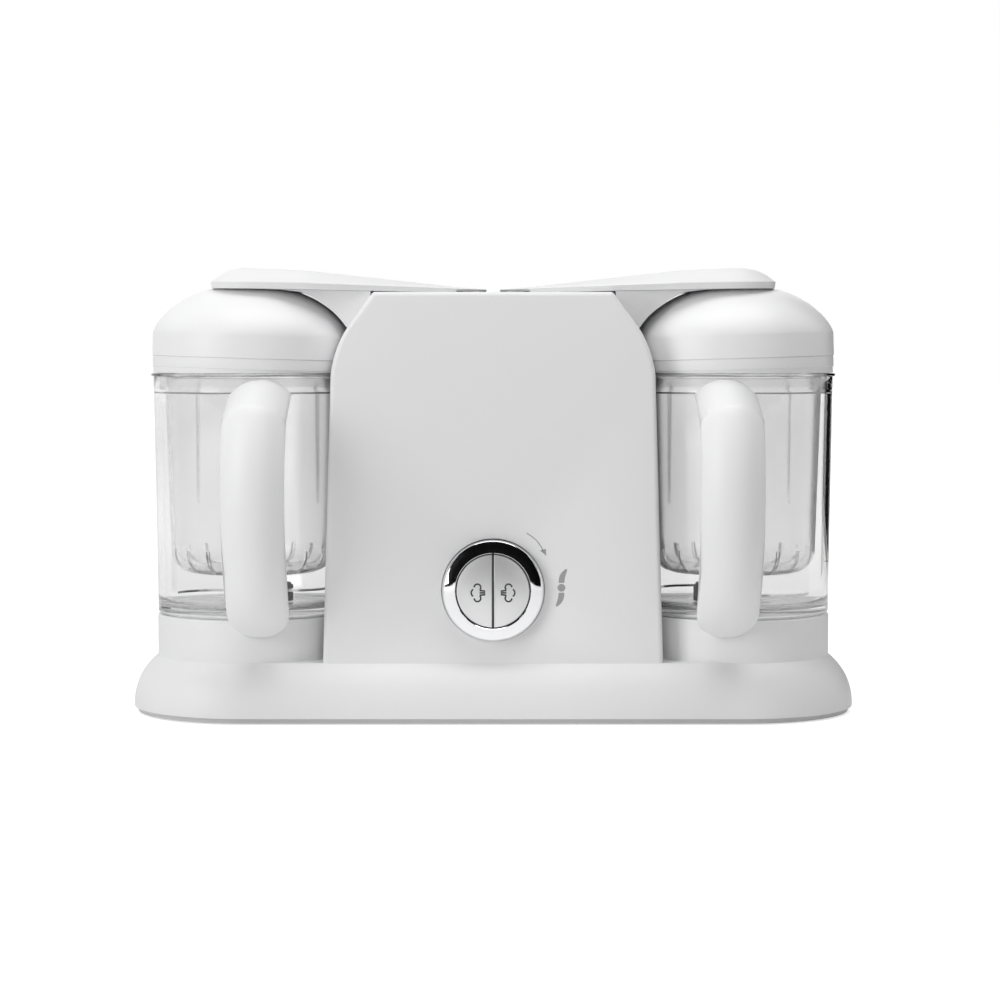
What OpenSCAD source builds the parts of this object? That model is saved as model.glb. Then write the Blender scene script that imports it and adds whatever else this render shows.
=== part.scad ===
// Twin-bowl steam cooker and blender for baby food.
// Origin: middle of the footprint on the surface it stands on. +Z up, -Y towards the user.
// Pieces that come in pairs are drawn for the right side (+X) and mirrored for the left.

/* [Layout] */
// Distance of each bowl axis from the middle plane
bowl_x = 132.3; // [128:0.1:140]
// Place of the bowl axes along Y
bowl_y = -8; // [-14:0.5:0]
// Rear edge of the foot band
base_back = 111; // [100:1:125]

/* [Base] */
// Height of the deck above the table
base_h = 31.5; // [28:0.5:38]
// How far the skirt stands out past the deck edge
base_flare = 13.2; // [8:0.2:16]
// Radius of the skirt's curve
base_flare_r = 33; // [30:0.5:40]
// Wall of the base shell
base_wall = 3; // [2.2:0.1:4]
// Thickness of the bottom plate
plate_t = 2.7; // [2:0.1:3.4]
// How far the foot band is set in from the skirt
band_inset = 2.3; // [1:0.1:4]
// Height that the rubber feet stand below the bottom plate
foot_h = 0.8; // [0.5:0.1:2]
// Radius of a rubber foot
foot_r = 9; // [7:0.5:12]

/* [Seats] */
// Radius of a bowl seat
seat_r = 52; // [50:0.5:54]
// Height of a seat's rim above the table
seat_top = 54; // [52:0.5:60]
// Wall of a seat
seat_wall = 2.6; // [2:0.1:3.2]
// Depth of the recess that takes a bowl's foot
seat_recess = 8; // [7.5:0.5:10]

/* [Column] */
// Half width of the column where it meets the deck
col_foot = 90.5; // [86:0.5:94]
// Half width of the column where its sides start to curve in
col_side = 86; // [82:0.5:88]
// Height at which the sides start to curve in
col_shoulder_z = 183; // [176:1:188]
// Radius of the shoulder's curve
col_shoulder_r = 48; // [40:1:52]
// Angle that the shoulder turns through
col_shoulder_a = 36; // [32:1:40]
// Height of the column's top
col_top = 228.4; // [224:0.2:234]
// Wall of the column
col_wall = 3; // [2.2:0.1:4]
// Depth of the front cover
cover_t = 8; // [6:0.5:10]
// Rounding of the front cover's edge
cover_round = 2.4; // [1:0.2:3]
// Rear face of the column
col_back = 84; // [74:1:92]
// Rounding of the column's rear edges
col_back_r = 24; // [12:1:30]
// Gap between the column's hollow sides and a bowl's lip
bowl_gap = 1.6; // [1:0.1:3]

/* [Bowls] */
// Outer radius of a bowl at its foot
bowl_r = 51.7; // [50:0.1:53]
// Outer radius of a bowl under its lip
bowl_top_r = 53.5; // [52:0.1:54]
// Wall of a bowl
bowl_wall = 2.5; // [2:0.1:3]
// Thickness of a bowl's floor
bowl_floor = 4.5; // [3.5:0.1:6]
// Height of a bowl from its underside to its lip
bowl_h = 131; // [128:0.5:140]
// Outer radius of the lip
lip_r = 54.9; // [54.2:0.1:56]
// Height of the lip
lip_h = 1.7; // [1.4:0.1:3]
// Angle that a bowl turns to unlock
bowl_turn = 30; // [24:1:32]

/* [Handles] */
// Width of a handle
handle_w = 33; // [28:0.5:36]
// Distance from the bowl axis to the handle's front
handle_reach = 103; // [98:0.1:106]
// Thickness of the grip
handle_t = 13; // [10:0.5:16]
// Radius of the bow that the grip follows
handle_arc_r = 85; // [82:0.5:90]
// Height of the foremost point of the bow above the table
handle_mid = 124.5; // [120:0.5:128]
// Slope of the handle's top face
handle_slope = 15.5; // [10:0.5:18]
// How far a handle's middle plane stands from the bowl axis, towards the column
handle_shift = 8.7; // [6:0.1:10]

/* [Baskets] */
// Outer radius of a basket under its flange
basket_r = 47.2; // [44:0.2:47.4]
// Outer radius of a basket above its rounded foot
basket_low_r = 44.4; // [40:0.2:45]
// Height of a basket's underside above the table
basket_z = 76.6; // [74:0.2:82]
// Rounding of a basket's foot
basket_round = 12; // [8:0.5:14]
// Wall of a basket
basket_wall = 1.6; // [1.2:0.1:2.4]
// Height of the flange
basket_flange = 6; // [4:0.5:9]
// Number of steam slots round the foot
basket_slots = 20; // [12:1:24]

/* [Blades] */
// Reach of the cutting blade
blade_r = 41.5; // [36:0.5:43]
// Thickness of the blade
blade_t = 1.2; // [0.8:0.1:2]
// Length of the hub's cap
hub_l = 35; // [30:1:38]
// Width of the hub's cap
hub_w = 26; // [20:1:30]
// Height of the hub's cap
hub_h = 11; // [9:0.5:12]

/* [Lids] */
// Outer radius of a lid
lid_r = 54.2; // [53:0.1:55]
// Height of a lid's lower edge above the table, at its middle
lid_z = 187.4; // [187.3:0.1:189]
// Height of the lid's skirt band
lid_band = 5.7; // [4:0.1:7]
// Height of the upright wall above the band
lid_wall_h = 12.3; // [8:0.1:14]
// Height of the whole lid
lid_h = 43.3; // [39:0.1:43.7]
// Wall of a lid
lid_t = 2.4; // [1.8:0.1:3]
// Tilt that a lid takes on its seal
lid_tilt = 1.7; // [0:0.1:1.8]

/* [Levers] */
// Distance of each hinge pin from the middle plane
hinge_x = 12; // [11.5:0.1:14]
// Height of the hinge pins above the table
hinge_z = 224; // [222:0.2:225]
// Distance of the lever's tip from the middle plane
lever_tip = 3.7; // [3.4:0.1:5]
// Distance of the lever's outer end from the middle plane
lever_end = 153.5; // [146:0.5:160]
// Half width of the lever at its tip
lever_tip_w = 13; // [11:0.5:14]
// Half width of the lever at its broad end
lever_w = 35; // [30:0.5:38]
// Upward slope of the lever's underside
lever_slope = 1; // [0.4:0.1:1.4]
// Height of the lever's upright edge
lever_edge = 3.8; // [3:0.1:5]
// Height of the lever's crown above its underside
lever_crown = 12.4; // [9:0.2:14]

/* [Arms] */
// Distance of the steam arm's inner end from the middle plane
arm_in = 74; // [73.8:0.2:76]
// Width of the steam arm along Y
arm_w = 52; // [51:1:54]
// Height of the steam arm's top above the table
arm_top = 231; // [229:0.2:232]

/* [Steam] */
// Distance of each boiler from the middle plane
boiler_x = 42; // [41.6:0.2:44]
// Place of the boilers along Y
boiler_y = -4; // [-8:0.5:2]
// Radius of a boiler
boiler_r = 25; // [20:0.5:26]
// Height of a boiler's underside above the table
boiler_z = 78; // [70:1:90]
// Height of a boiler
boiler_h = 108; // [90:1:112]
// Wall of a boiler
boiler_wall = 1; // [0.8:0.1:1.6]
// Inner radius of the filler neck
neck_r = 14.6; // [14.4:0.1:15]
// Radius of the tank plug
plug_r = 12.4; // [11:0.1:12.6]
// Height of the steam outlet above the table
steam_z = 219; // [218.5:0.1:220]
// Distance of the steam outlet behind the boiler axis
steam_dy = 16; // [14:0.5:18]
// Outer radius of the steam tube
steam_r = 3; // [2.4:0.1:3.2]

/* [Knob] */
// Height of the knob's middle above the table
knob_z = 70.5; // [66:0.5:90]
// Outer radius of the knob ring
knob_r = 27; // [24:0.5:30]
// Inner radius of the knob ring
knob_in = 20.6; // [20.4:0.1:21]
// How far the knob ring stands out of the cover
knob_out = 7; // [5:0.5:9]
// Radius of the split button disc
button_r = 19.3; // [18:0.1:19.4]
// Gap between the two buttons
button_gap = 0.9; // [0.6:0.1:1.5]
// Travel of a button
button_travel = 2; // [1:0.1:2.2]

/* [Drive] */
// Radius of a motor's can
motor_r = 27; // [22:0.5:30]
// Height of a motor's can
motor_h = 34; // [30:0.5:35]
// Radius of the motor shaft
shaft_r = 3; // [2.5:0.1:3.5]
// Radius of the round neck that carries the blade hub
neck_hub_r = 8; // [7:0.2:9]

/* [Fits] */
// Running clearance of a shaft or pin in its hole
fit = 0.05; // [0.02:0.01:0.09]
// Clearance between pieces that move past each other
clear = 0.4; // [0.3:0.05:0.5]

/* [Hidden] */
$fn = 96;

// ---- colours
white = "#f4f4f4";
pale = "#dcdcdc";
clear_plastic = "#dfe6ea80";
steel = "#c4c7c9";
dark = "#3c3c3e";

// ---- heights and places that several pieces share
cover_y = bowl_y - seat_r;
cover_back = cover_y + cover_t;
plate_z = foot_h;
shell_z = plate_z + plate_t;
deck_under = base_h - base_wall;
deck_back = base_back - base_flare;
seat_floor = seat_top - seat_recess;
seat_under = seat_floor - 3;
bowl_z = seat_top + 0.3;
lip_z = bowl_z + bowl_h - lip_h;
bowl_top = bowl_z + bowl_h;
bowl_in = bowl_r - bowl_wall;
bowl_in_top = bowl_top_r - bowl_wall;
basket_top = bowl_top - 2.8;
waist_r = max(lip_r, seat_r) + bowl_gap;
roof_under = col_top - col_wall;
arch_lean = atan((col_foot - col_side) / (col_shoulder_z - base_h));

// ---- shared shapes

// Draws its children on the left side of the middle plane
module on_left() { mirror([1, 0, 0]) children(); }

// Moves its children from a bowl axis at the origin to the right bowl axis
module at_bowl() { translate([bowl_x, bowl_y, 0]) children(); }

// A tube or a ring with square edges
module ring(r_out, r_in, z0, z1) {
  translate([0, 0, z0]) difference() {
    cylinder(r = r_out, h = z1 - z0);
    translate([0, 0, -1]) cylinder(r = r_in, h = z1 - z0 + 2);
  }
}

// A cylinder along Y from y0 to y1
module rod_y(r, x, z, y0, y1) {
  translate([x, y1, z]) rotate([90, 0, 0]) cylinder(r = r, h = y1 - y0);
}

// A cylinder along X from x0 to x1
module rod_x(r, y, z, x0, x1) {
  translate([x0, y, z]) rotate([0, 90, 0]) cylinder(r = r, h = x1 - x0);
}

// A box from its two corners
module block(a, b) {
  translate(a) cube(b - a);
}

// Deck outline, moved in by inset: a rounded rectangle whose corners follow the seats
module deck_outline(inset = 0) {
  hw = bowl_x + seat_r - inset;
  y0 = cover_y + inset;
  y1 = deck_back - inset;
  cx = bowl_x;
  cy0 = bowl_y;
  cy1 = deck_back - seat_r;
  union() {
    translate([-cx, y0]) square([2 * cx, y1 - y0]);
    translate([-hw, cy0]) square([2 * hw, cy1 - cy0]);
    for (x = [-cx, cx], y = [cy0, cy1]) translate([x, y]) circle(r = seat_r - inset);
  }
}

// Skirt profile outside the deck edge: x is the distance past the edge, y is the height
module flare_profile(inset, z0, z1) {
  intersection() {
    translate([base_flare - base_flare_r, shell_z + 1.5]) circle(r = base_flare_r - inset, $fn = 180);
    translate([-6, z0]) square([base_flare + 7, z1 - z0]);
  }
}

// Sweeps a profile round the deck outline
module round_deck(core = seat_r) {
  cy1 = deck_back - seat_r;
  for (s = [0, 1]) mirror([s, 0, 0]) {
    translate([bowl_x, bowl_y, 0]) rotate([0, 0, -90])
      rotate_extrude(angle = 90) translate([core, 0]) children();
    translate([bowl_x, cy1, 0])
      rotate_extrude(angle = 90) translate([core, 0]) children();
    translate([bowl_x + core, cy1, 0]) rotate([90, 0, 0])
      linear_extrude(cy1 - bowl_y) children();
  }
  translate([-bowl_x, cover_y, 0]) rotate([90, 0, 90])
    linear_extrude(2 * bowl_x) mirror([1, 0]) children();
  translate([-bowl_x, deck_back, 0]) rotate([90, 0, 90])
    linear_extrude(2 * bowl_x) children();
}

// Front outline of the column, moved in by inset; its foot may reach below the deck by drop
module arch(inset = 0, drop = 0) {
  lean = arch_lean;
  r = col_shoulder_r;
  cx = col_side - r * cos(lean);
  cz = col_shoulder_z - r * sin(lean);
  ri = r - inset;
  a = col_shoulder_a;
  top = col_top - inset;
  bend = [cx + ri * cos(a), cz + ri * sin(a)];
  top_x = bend[0] - (top - bend[1]) * tan(a);
  steps = 14;
  side = [for (i = [0:steps]) let (t = lean + (a - lean) * i / steps) [cx + ri * cos(t), cz + ri * sin(t)]];
  foot_x = col_foot - inset / cos(lean) + drop * tan(lean);
  right = concat([[foot_x, base_h - drop]], side, [[top_x, top]]);
  left = [for (i = [len(right) - 1:-1:0]) [-right[i][0], right[i][1]]];
  polygon(concat(right, left));
}

// Solid that the column fills from y0 back, with rounded rear edges, moved in by inset
module column_solid(y0, inset = 0, drop = 0) {
  back = col_back - inset;
  r = col_back_r - inset;
  intersection() {
    translate([0, back, 0]) rotate([90, 0, 0]) linear_extrude(back - y0) arch(inset, drop);
    translate([-col_foot - 1, 0, 0]) rotate([90, 0, 90]) linear_extrude(2 * col_foot + 2) union() {
      translate([y0 - 1, 0]) square([back - r - y0 + 1, col_top + 1]);
      translate([y0 - 1, 0]) square([back - y0 + 1, col_top - inset - r]);
      translate([back - r, col_top - inset - r]) circle(r = r);
    }
    linear_extrude(col_top + 1) union() {
      translate([-col_foot - 1, y0 - 1]) square([2 * col_foot + 2, back - r - y0 + 1]);
      translate([-col_side + inset + r, y0 - 1]) square([2 * (col_side - inset - r), back - y0 + 1]);
      for (s = [-1, 1]) translate([s * (col_side - inset - r), back - r]) circle(r = r);
    }
  }
}

// Outline of the part of a circle that lies between angles a0 and a1
module wedge(r, a0, a1) {
  polygon(concat([[0, 0]], [for (i = [0:6]) let (t = a0 + (a1 - a0) * i / 6) [r * cos(t), r * sin(t)]]));
}

// ---- base

screw_spots = [[60, 72], [165, 62], [72, -38]];
screw_r = 1.55;
screw_head_r = 3.4;
screw_l = 13;
foot_spots = [[150, -36], [150, 74], [50, -50], [50, 84]];
boss_r = 4.2;
wire_hole = 32;

module base_shell() color(white) difference() {
  union() {
    difference() {
      union() {
        translate([0, 0, shell_z]) linear_extrude(base_h - shell_z) deck_outline();
        round_deck() flare_profile(0, shell_z, base_h);
      }
      translate([0, 0, shell_z - 1]) linear_extrude(deck_under - shell_z + 1) deck_outline(1);
      round_deck() flare_profile(base_wall, shell_z - 1, deck_under);
    }
    for (m = [0, 1]) mirror([m, 0, 0]) for (p = screw_spots)
      translate([p[0], p[1], shell_z]) cylinder(r = boss_r, h = deck_under - shell_z + 1);
  }
  for (m = [0, 1]) mirror([m, 0, 0]) {
    at_bowl() cylinder(r = seat_r - 5, h = base_h + 1);
    for (p = screw_spots)
      translate([p[0], p[1], shell_z - 1]) cylinder(r = screw_r + fit, h = screw_l + 2);
  }
  linear_extrude(base_h + 1) translate([-wire_hole / 2, boiler_y - wire_hole]) square([wire_hole, 2 * wire_hole]);
  rod_y(inlet_r + fit, inlet_x, inlet_z, deck_back, base_back + 5);
}

module base_plate() color(pale) difference() {
  union() {
    translate([0, 0, plate_z]) linear_extrude(plate_t) deck_outline();
    translate([0, 0, plate_z]) round_deck()
      translate([-6, 0]) square([6 + base_flare - band_inset, plate_t]);
  }
  for (m = [0, 1]) mirror([m, 0, 0]) {
    for (p = foot_spots) translate([p[0], p[1], 0]) cylinder(r = foot_stem_r + 0.1, h = 9);
    for (p = screw_spots) translate([p[0], p[1], 0]) {
      cylinder(r = screw_r + 0.3, h = 9);
      cylinder(r = screw_head_r + 0.2, h = plate_z + screw_head_h);
    }
    at_bowl() for (i = [-3:3]) translate([-16, 5.6 * i - 1.2, 0]) cube([32, 2.4, 9]);
  }
}

foot_stem_r = 3.9;
module feet() color(dark) for (m = [0, 1]) mirror([m, 0, 0]) for (p = foot_spots)
  translate([p[0], p[1], 0]) {
    cylinder(r = foot_r, h = foot_h);
    cylinder(r = foot_stem_r, h = shell_z + 0.1);
    translate([0, 0, shell_z + 0.1]) cylinder(r = foot_stem_r + 1.4, h = 1.4);
  }

screw_head_h = 1.6;
module base_screws() color(steel) for (m = [0, 1]) mirror([m, 0, 0]) for (p = screw_spots)
  translate([p[0], p[1], plate_z]) difference() {
    union() {
      cylinder(r = screw_head_r, h = screw_head_h);
      cylinder(r = screw_r, h = screw_l);
    }
    for (a = [0, 90]) rotate(a) translate([-2, -0.4, -1]) cube([4, 0.8, 1.8]);
  }

// ---- bowl seats

tab_angles = [30, 150, 270];
tab_in = seat_r - 5.4;
module seat() color(white) at_bowl() {
  difference() {
    union() {
      ring(seat_r, seat_r - seat_wall, base_h, seat_top);
      translate([0, 0, base_h - 4]) ring(seat_r - 5 - fit, seat_r - 5 - seat_wall, 0, 4.5);
      translate([0, 0, seat_under]) cylinder(r = seat_r - 1, h = seat_floor - seat_under);
      ring(seat_r - 1, seat_r - 5 - seat_wall, base_h, base_h + 2.5);
      for (a = tab_angles) rotate(a) intersection() {
        ring(seat_r - 1, tab_in, seat_top - 2.8, seat_top);
        linear_extrude(seat_top + 1) wedge(seat_r + 4, -14, 14);
      }
    }
    cylinder(r = coupling_r + 1.2, h = seat_top + 1);
    for (a = lug_angles) rotate(a) translate([bracket_screw_r, 0, seat_under - 1])
      cylinder(r = motor_screw_r + fit, h = 3.6);
  }
}

// ---- motors

can_z = shell_z + 2.6;
can_top = can_z + motor_h;
bracket_t = 2;
bracket_screw_r = motor_r + 5;
lug_angles = [45, 135, 225, 315];
motor_screw_r = 1.25;
bush_r = 6;
bush_l = 5;
module motor() color(steel) at_bowl() {
  difference() {
    union() {
      translate([0, 0, can_z]) cylinder(r = motor_r, h = motor_h);
      for (a = lug_angles) rotate(a) {
        translate([bracket_screw_r, 0, can_top - bracket_t]) cylinder(r = 3.6, h = seat_under - can_top + bracket_t);
        translate([motor_r - 4, -3.6, can_top - bracket_t]) cube([bracket_screw_r - motor_r + 4, 7.2, bracket_t]);
      }
    }
    for (a = lug_angles) rotate(a) translate([bracket_screw_r, 0, can_top - bracket_t - 1])
      cylinder(r = motor_screw_r + 0.2, h = seat_under - can_top + bracket_t + 2);
    translate([0, 0, can_z + 1.6]) cylinder(r = motor_r - 1.6, h = motor_h - 3.2);
    translate([0, 0, can_z - 1]) cylinder(r = bush_r + fit, h = motor_h + 2);
  }
}

module motor_screws() color(steel) for (m = [0, 1]) mirror([m, 0, 0]) at_bowl()
  for (a = lug_angles) rotate(a) translate([bracket_screw_r, 0, can_top - bracket_t]) {
    translate([0, 0, -1.8]) cylinder(r = 2.8, h = 1.8);
    translate([0, 0, -1]) cylinder(r = motor_screw_r, h = seat_under + 3.4 - can_top + bracket_t);
  }

module shaft_bushes() color("#b08d57") for (m = [0, 1]) mirror([m, 0, 0]) at_bowl() {
  for (z = [can_z, can_top - bush_l]) ring(bush_r, shaft_r + fit, z, z + bush_l);
}

rotor_z0 = can_z + bush_l + 0.6;
rotor_z1 = can_top - bush_l - 0.6;
module rotor() color("#a66b3d") at_bowl() {
  translate([0, 0, can_z - 1.4]) cylinder(r = shaft_r, h = seat_floor + 4.8 - can_z);
  difference() {
    translate([0, 0, rotor_z0]) cylinder(r = motor_r - 6, h = rotor_z1 - rotor_z0);
    for (a = [0:60:359]) rotate(a) translate([motor_r - 9.5, -1.5, rotor_z0 - 1])
      cube([6, 3, rotor_z1 - rotor_z0 + 2]);
  }
}

coupling_r = 10;
coupling_z0 = seat_floor + 0.6;
coupling_z1 = bowl_z - 0.9;
hex_r = 6.2;
module coupling(side, turn) color(dark) at_drive(side, turn) difference() {
  translate([0, 0, coupling_z0]) cylinder(r = coupling_r, h = coupling_z1 - coupling_z0);
  translate([0, 0, coupling_z0 - 1]) cylinder(r = shaft_r + 0.02, h = 4.4);
  translate([0, 0, coupling_z1 - 3.9]) cylinder(r = hex_r + 0.2, h = 5, $fn = 6);
}

// ---- blade hub and blade

hub_z = bowl_z + bowl_floor + 0.6;
hub_top = hub_z + hub_h;
module hub_outline(inset) {
  step = hub_l - hub_w;
  union() {
    for (x = [-step, 0]) translate([x, 0]) circle(r = hub_w / 2 - inset);
    translate([-step, inset - hub_w / 2]) square([step, hub_w - 2 * inset]);
  }
}

// A drive train's turning pieces stand at their own angle on each side
module at_drive(side, turn) { translate([side * bowl_x, bowl_y, 0]) rotate(turn) children(); }

module hub(side, turn) color(dark) at_drive(side, turn) difference() {
  union() {
    translate([0, 0, hub_z]) linear_extrude(hub_h - 1.2) hub_outline(0);
    translate([0, 0, hub_z]) linear_extrude(hub_h) hub_outline(1.2);
    translate([0, 0, bowl_z + 0.2]) cylinder(r = neck_hub_r, h = hub_z - bowl_z);
    translate([0, 0, coupling_z1 - 3.6]) cylinder(r = hex_r, h = bowl_z - coupling_z1 + 4.2, $fn = 6);
  }
  at_blade(0.1);
  translate([0, 0, arm_levels[0][1]]) cylinder(r = 3.1, h = arm_levels[1][1] - arm_levels[0][1] + blade_t);
}

// The two arms of the blade lie at two heights and pass through slots in the hub
arm_levels = [[0, hub_z + hub_h - 6.2], [180, hub_z + hub_h - 3.4]];
arm_curve = blade_r / 2;
module at_blade(margin) {
  for (level = arm_levels)
    rotate(level[0]) translate([0, 0, level[1] - margin]) linear_extrude(blade_t + 2 * margin) blade_arm(margin);
}

// One arm: a sickle that leaves the hub's end and sweeps out to the blade's reach
module blade_arm(margin) {
  difference() {
    union() {
      translate([arm_curve, 0]) circle(r = arm_curve + margin);
      circle(r = neck_hub_r + margin);
    }
    difference() {
      translate([arm_curve + 0.8, 7.6]) circle(r = arm_curve - margin);
      circle(r = neck_hub_r + margin);
    }
  }
}

module blade(side, turn) color(steel) at_drive(side, turn) union() {
  at_blade(0);
  translate([0, 0, arm_levels[0][1]]) cylinder(r = 3, h = arm_levels[1][1] - arm_levels[0][1] + blade_t);
}

// ---- bowls

lug_z0 = seat_floor + 1.6;
lug_z1 = seat_top - 2.8 - clear;
foot_ring_r = tab_in - clear;
module bowl_shape() {
  rotate_extrude() difference() {
    union() {
      polygon([
        [neck_hub_r + fit + 3.4, bowl_z], [bowl_r, bowl_z], [bowl_top_r, lip_z], [bowl_top_r - 1, bowl_top],
        [neck_hub_r + fit + 3.4, bowl_top]
      ]);
      translate([0, lip_z]) square([lip_r - lip_h / 2, lip_h]);
      translate([lip_r - lip_h / 2, lip_z + lip_h / 2]) circle(r = lip_h / 2);
      translate([foot_ring_r - 3, lug_z0]) square([3, bowl_z - lug_z0 + 1]);
      translate([neck_hub_r + fit, bowl_z - 0.6]) square([4, bowl_floor + 0.6]);
    }
    difference() {
      polygon([
        [-1, bowl_z + bowl_floor], [bowl_in, bowl_z + bowl_floor], [bowl_in_top, bowl_top + 1],
        [-1, bowl_top + 1]
      ]);
      difference() {
        translate([bowl_in - 6, bowl_z + bowl_floor - 1]) square([8, 7]);
        translate([bowl_in - 6 + 0.1, bowl_z + bowl_floor + 6]) circle(r = 6);
      }
    }
    translate([-1, bowl_z - 2]) square([1 + neck_hub_r + fit, bowl_h + 4]);
  }
}

module bowl() color(clear_plastic) at_bowl() union() {
  bowl_shape();
  ring(bowl_in_top + 0.5, bowl_in_top - 1.2, basket_top - basket_flange - 1.6, basket_top - basket_flange);
  for (a = tab_angles) rotate(a) intersection() {
    ring(tab_in + 2.2, foot_ring_r - 2, lug_z0, lug_z1);
    linear_extrude(seat_top) wedge(seat_r + 4, -11, 11);
  }
}

// Side outline of a handle: x is the distance from the bowl axis, y is the height
handle_top = lip_z - 1.7;
handle_root = bowl_r * 0.85;
handle_end = max(seat_r, bowl_r) + 1;
bow = [handle_reach - handle_arc_r, handle_mid];
bow_in = bow - [3, 4.5];
bow_in_r = handle_arc_r + 3 - handle_t;
handle_low = handle_mid - sqrt(pow(handle_arc_r, 2) - pow(handle_end - bow[0], 2));
module handle_side() {
  intersection() {
    union() {
      // bow of the grip, which ends in front of the seat
      difference() {
        translate(bow) circle(r = handle_arc_r);
        translate(bow_in) circle(r = bow_in_r);
        translate([-handle_arc_r, 0]) square([handle_arc_r + handle_end, handle_mid]);
        translate([-handle_arc_r, 0]) square([handle_arc_r + bow[0], 2 * handle_mid]);
      }
      // root, which meets the bowl under its lip
      intersection() {
        translate([bowl_top_r, handle_top]) rotate(-handle_slope) translate([-20, -handle_t])
          square([handle_reach, handle_t + 3]);
        translate(bow) circle(r = handle_arc_r);
      }
    }
    translate([handle_root, 0]) square([handle_reach, handle_top + 20]);
  }
}

// Front outline of a handle's tail, with rounded lower corners
module handle_foot() {
  w = handle_w / 2;
  c = w * 0.67;
  for (side = [-1, 1]) translate([side * (w - c), handle_low + c]) circle(r = c);
  translate([c - w, handle_low]) square([2 * (w - c), 2 * c]);
  translate([-w, handle_low + c]) square([2 * w, handle_top + 20 - handle_low - c]);
}

// Outline of a handle's crowned top, across its slope
module handle_crown() {
  w = handle_w / 2;
  crown_r = 1.4 * w;
  intersection() {
    translate([0, -crown_r]) circle(r = crown_r);
    translate([-w - 1, -2 * crown_r]) square([2 * w + 2, 2 * crown_r]);
  }
  translate([-w - 1, -2 * handle_top]) square([2 * w + 2, 2 * handle_top - crown_r]);
}

// The handle drawn along X from the bowl axis, before it is turned to the front
module handle_form() {
  intersection() {
    translate([0, handle_w / 2, 0]) rotate([90, 0, 0]) linear_extrude(handle_w) handle_side();
    translate([handle_root - 1, 0, 0]) rotate([90, 0, 90]) linear_extrude(handle_reach) handle_foot();
    translate([bowl_top_r, 0, handle_top]) rotate([0, handle_slope, 0]) translate([-20, 0, 0])
      rotate([90, 0, 90]) linear_extrude(handle_reach) handle_crown();
  }
}

module handle() color(white) at_bowl() difference() {
  translate([-handle_shift, 0, 0]) rotate(-90) handle_form();
  rotate_extrude() polygon([
    [0, bowl_z - 9], [bowl_r + fit, bowl_z - 9], [bowl_r + fit, bowl_z], [bowl_top_r + fit, lip_z + 1], [0, lip_z + 1]
  ]);
}

// ---- baskets

module basket() color(clear_plastic) at_bowl() difference() {
  foot = basket_z + basket_round;
  core = basket_low_r - basket_round;
  rim = basket_top - basket_flange;
  rotate_extrude() difference() {
    union() {
      polygon([[0, foot], [basket_low_r, foot], [basket_r, rim], [0, basket_top]]);
      translate([0, basket_z]) square([core, basket_round + 3]);
      translate([core, foot]) circle(r = basket_round);
      translate([0, rim]) square([bowl_in_top - 0.4, basket_flange]);
    }
    polygon([
      [-1, foot], [basket_low_r - basket_wall, foot], [basket_r - basket_wall, basket_top + 1], [-1, basket_top + 1]
    ]);
    translate([-1, basket_z + basket_wall]) square([core + 1, basket_round + 1]);
    translate([core, foot]) circle(r = basket_round - basket_wall);
    translate([basket_r, rim + 1.6]) square([bowl_in_top - 1.8 - basket_r, basket_flange]);
  }
  for (i = [0:basket_slots - 1]) rotate((i + 0.5) * 360 / basket_slots)
    translate([core - 2, -0.9, basket_z - 1]) cube([basket_round + 8, 1.8, basket_round + 2.5]);
  for (ring_r = [10, 20]) for (i = [0:ring_r / 2 - 1]) rotate(i * 720 / ring_r)
    translate([ring_r, 0, basket_z - 1]) cylinder(r = 1.6, h = 4);
}

// ---- lids, on a frame whose z = 0 is the lid's lower edge at its middle

// Dome of a lid from its upright wall to its flat crown: points on a soft superellipse
dome_power = 1.32;
dome_steps = 10;
band_step = 0.3;
function dome(r, crown_r, z0, z1) = [for (i = [0:dome_steps]) let (t = 90 * i / dome_steps)
  [crown_r + (r - crown_r) * pow(cos(t), dome_power), z0 + (z1 - z0) * pow(sin(t), dome_power)]];

// Outer outline of a lid, grown by grow
module lid_outline(grow = 0) {
  r = lid_r + grow;
  polygon(concat(
    [[0, -grow], [r - band_step, -grow], [r - band_step, lid_band], [r, lid_band + band_step]],
    dome(r, lid_crown_r, lid_band + lid_wall_h, lid_h + grow), [[0, lid_h + grow]]
  ));
}

// The hollow under a lid
lid_crown_r = lid_r * 0.38;
lid_in = lid_r - band_step - lid_t;
module lid_hollow() {
  polygon(concat(
    [[-1, -1], [lid_in, -1]],
    dome(lid_in, lid_crown_r - 1, lid_band + lid_wall_h - 1, lid_h - lid_t), [[-1, lid_h - lid_t]]
  ));
}

module on_lid() {
  translate([bowl_x, bowl_y, lid_z]) rotate([0, -lid_tilt, 0]) children();
}

module steam_bore(r, x0, x1) { rod_x(r, boiler_y + steam_dy, steam_z, x0, x1); }

module lid() color(white) difference() {
  on_lid() rotate_extrude() difference() {
    lid_outline();
    lid_hollow();
    translate([-1, -1]) square([1, lid_h + 2]);
  }
  steam_bore(steam_r + 1, arm_in, bowl_x - 24);
  lever_under_cut(0.15);
}

liner_t = 2;
liner_z = 1.6;
module lid_liner() color(pale) on_lid() difference() {
  translate([0, 0, liner_z]) cylinder(r = lid_in - fit, h = liner_t);
  for (a = [0:45:359]) rotate(a) translate([16, 0, 0]) cylinder(r = 2.4, h = 9);
  cylinder(r = 5, h = 9);
}

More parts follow.
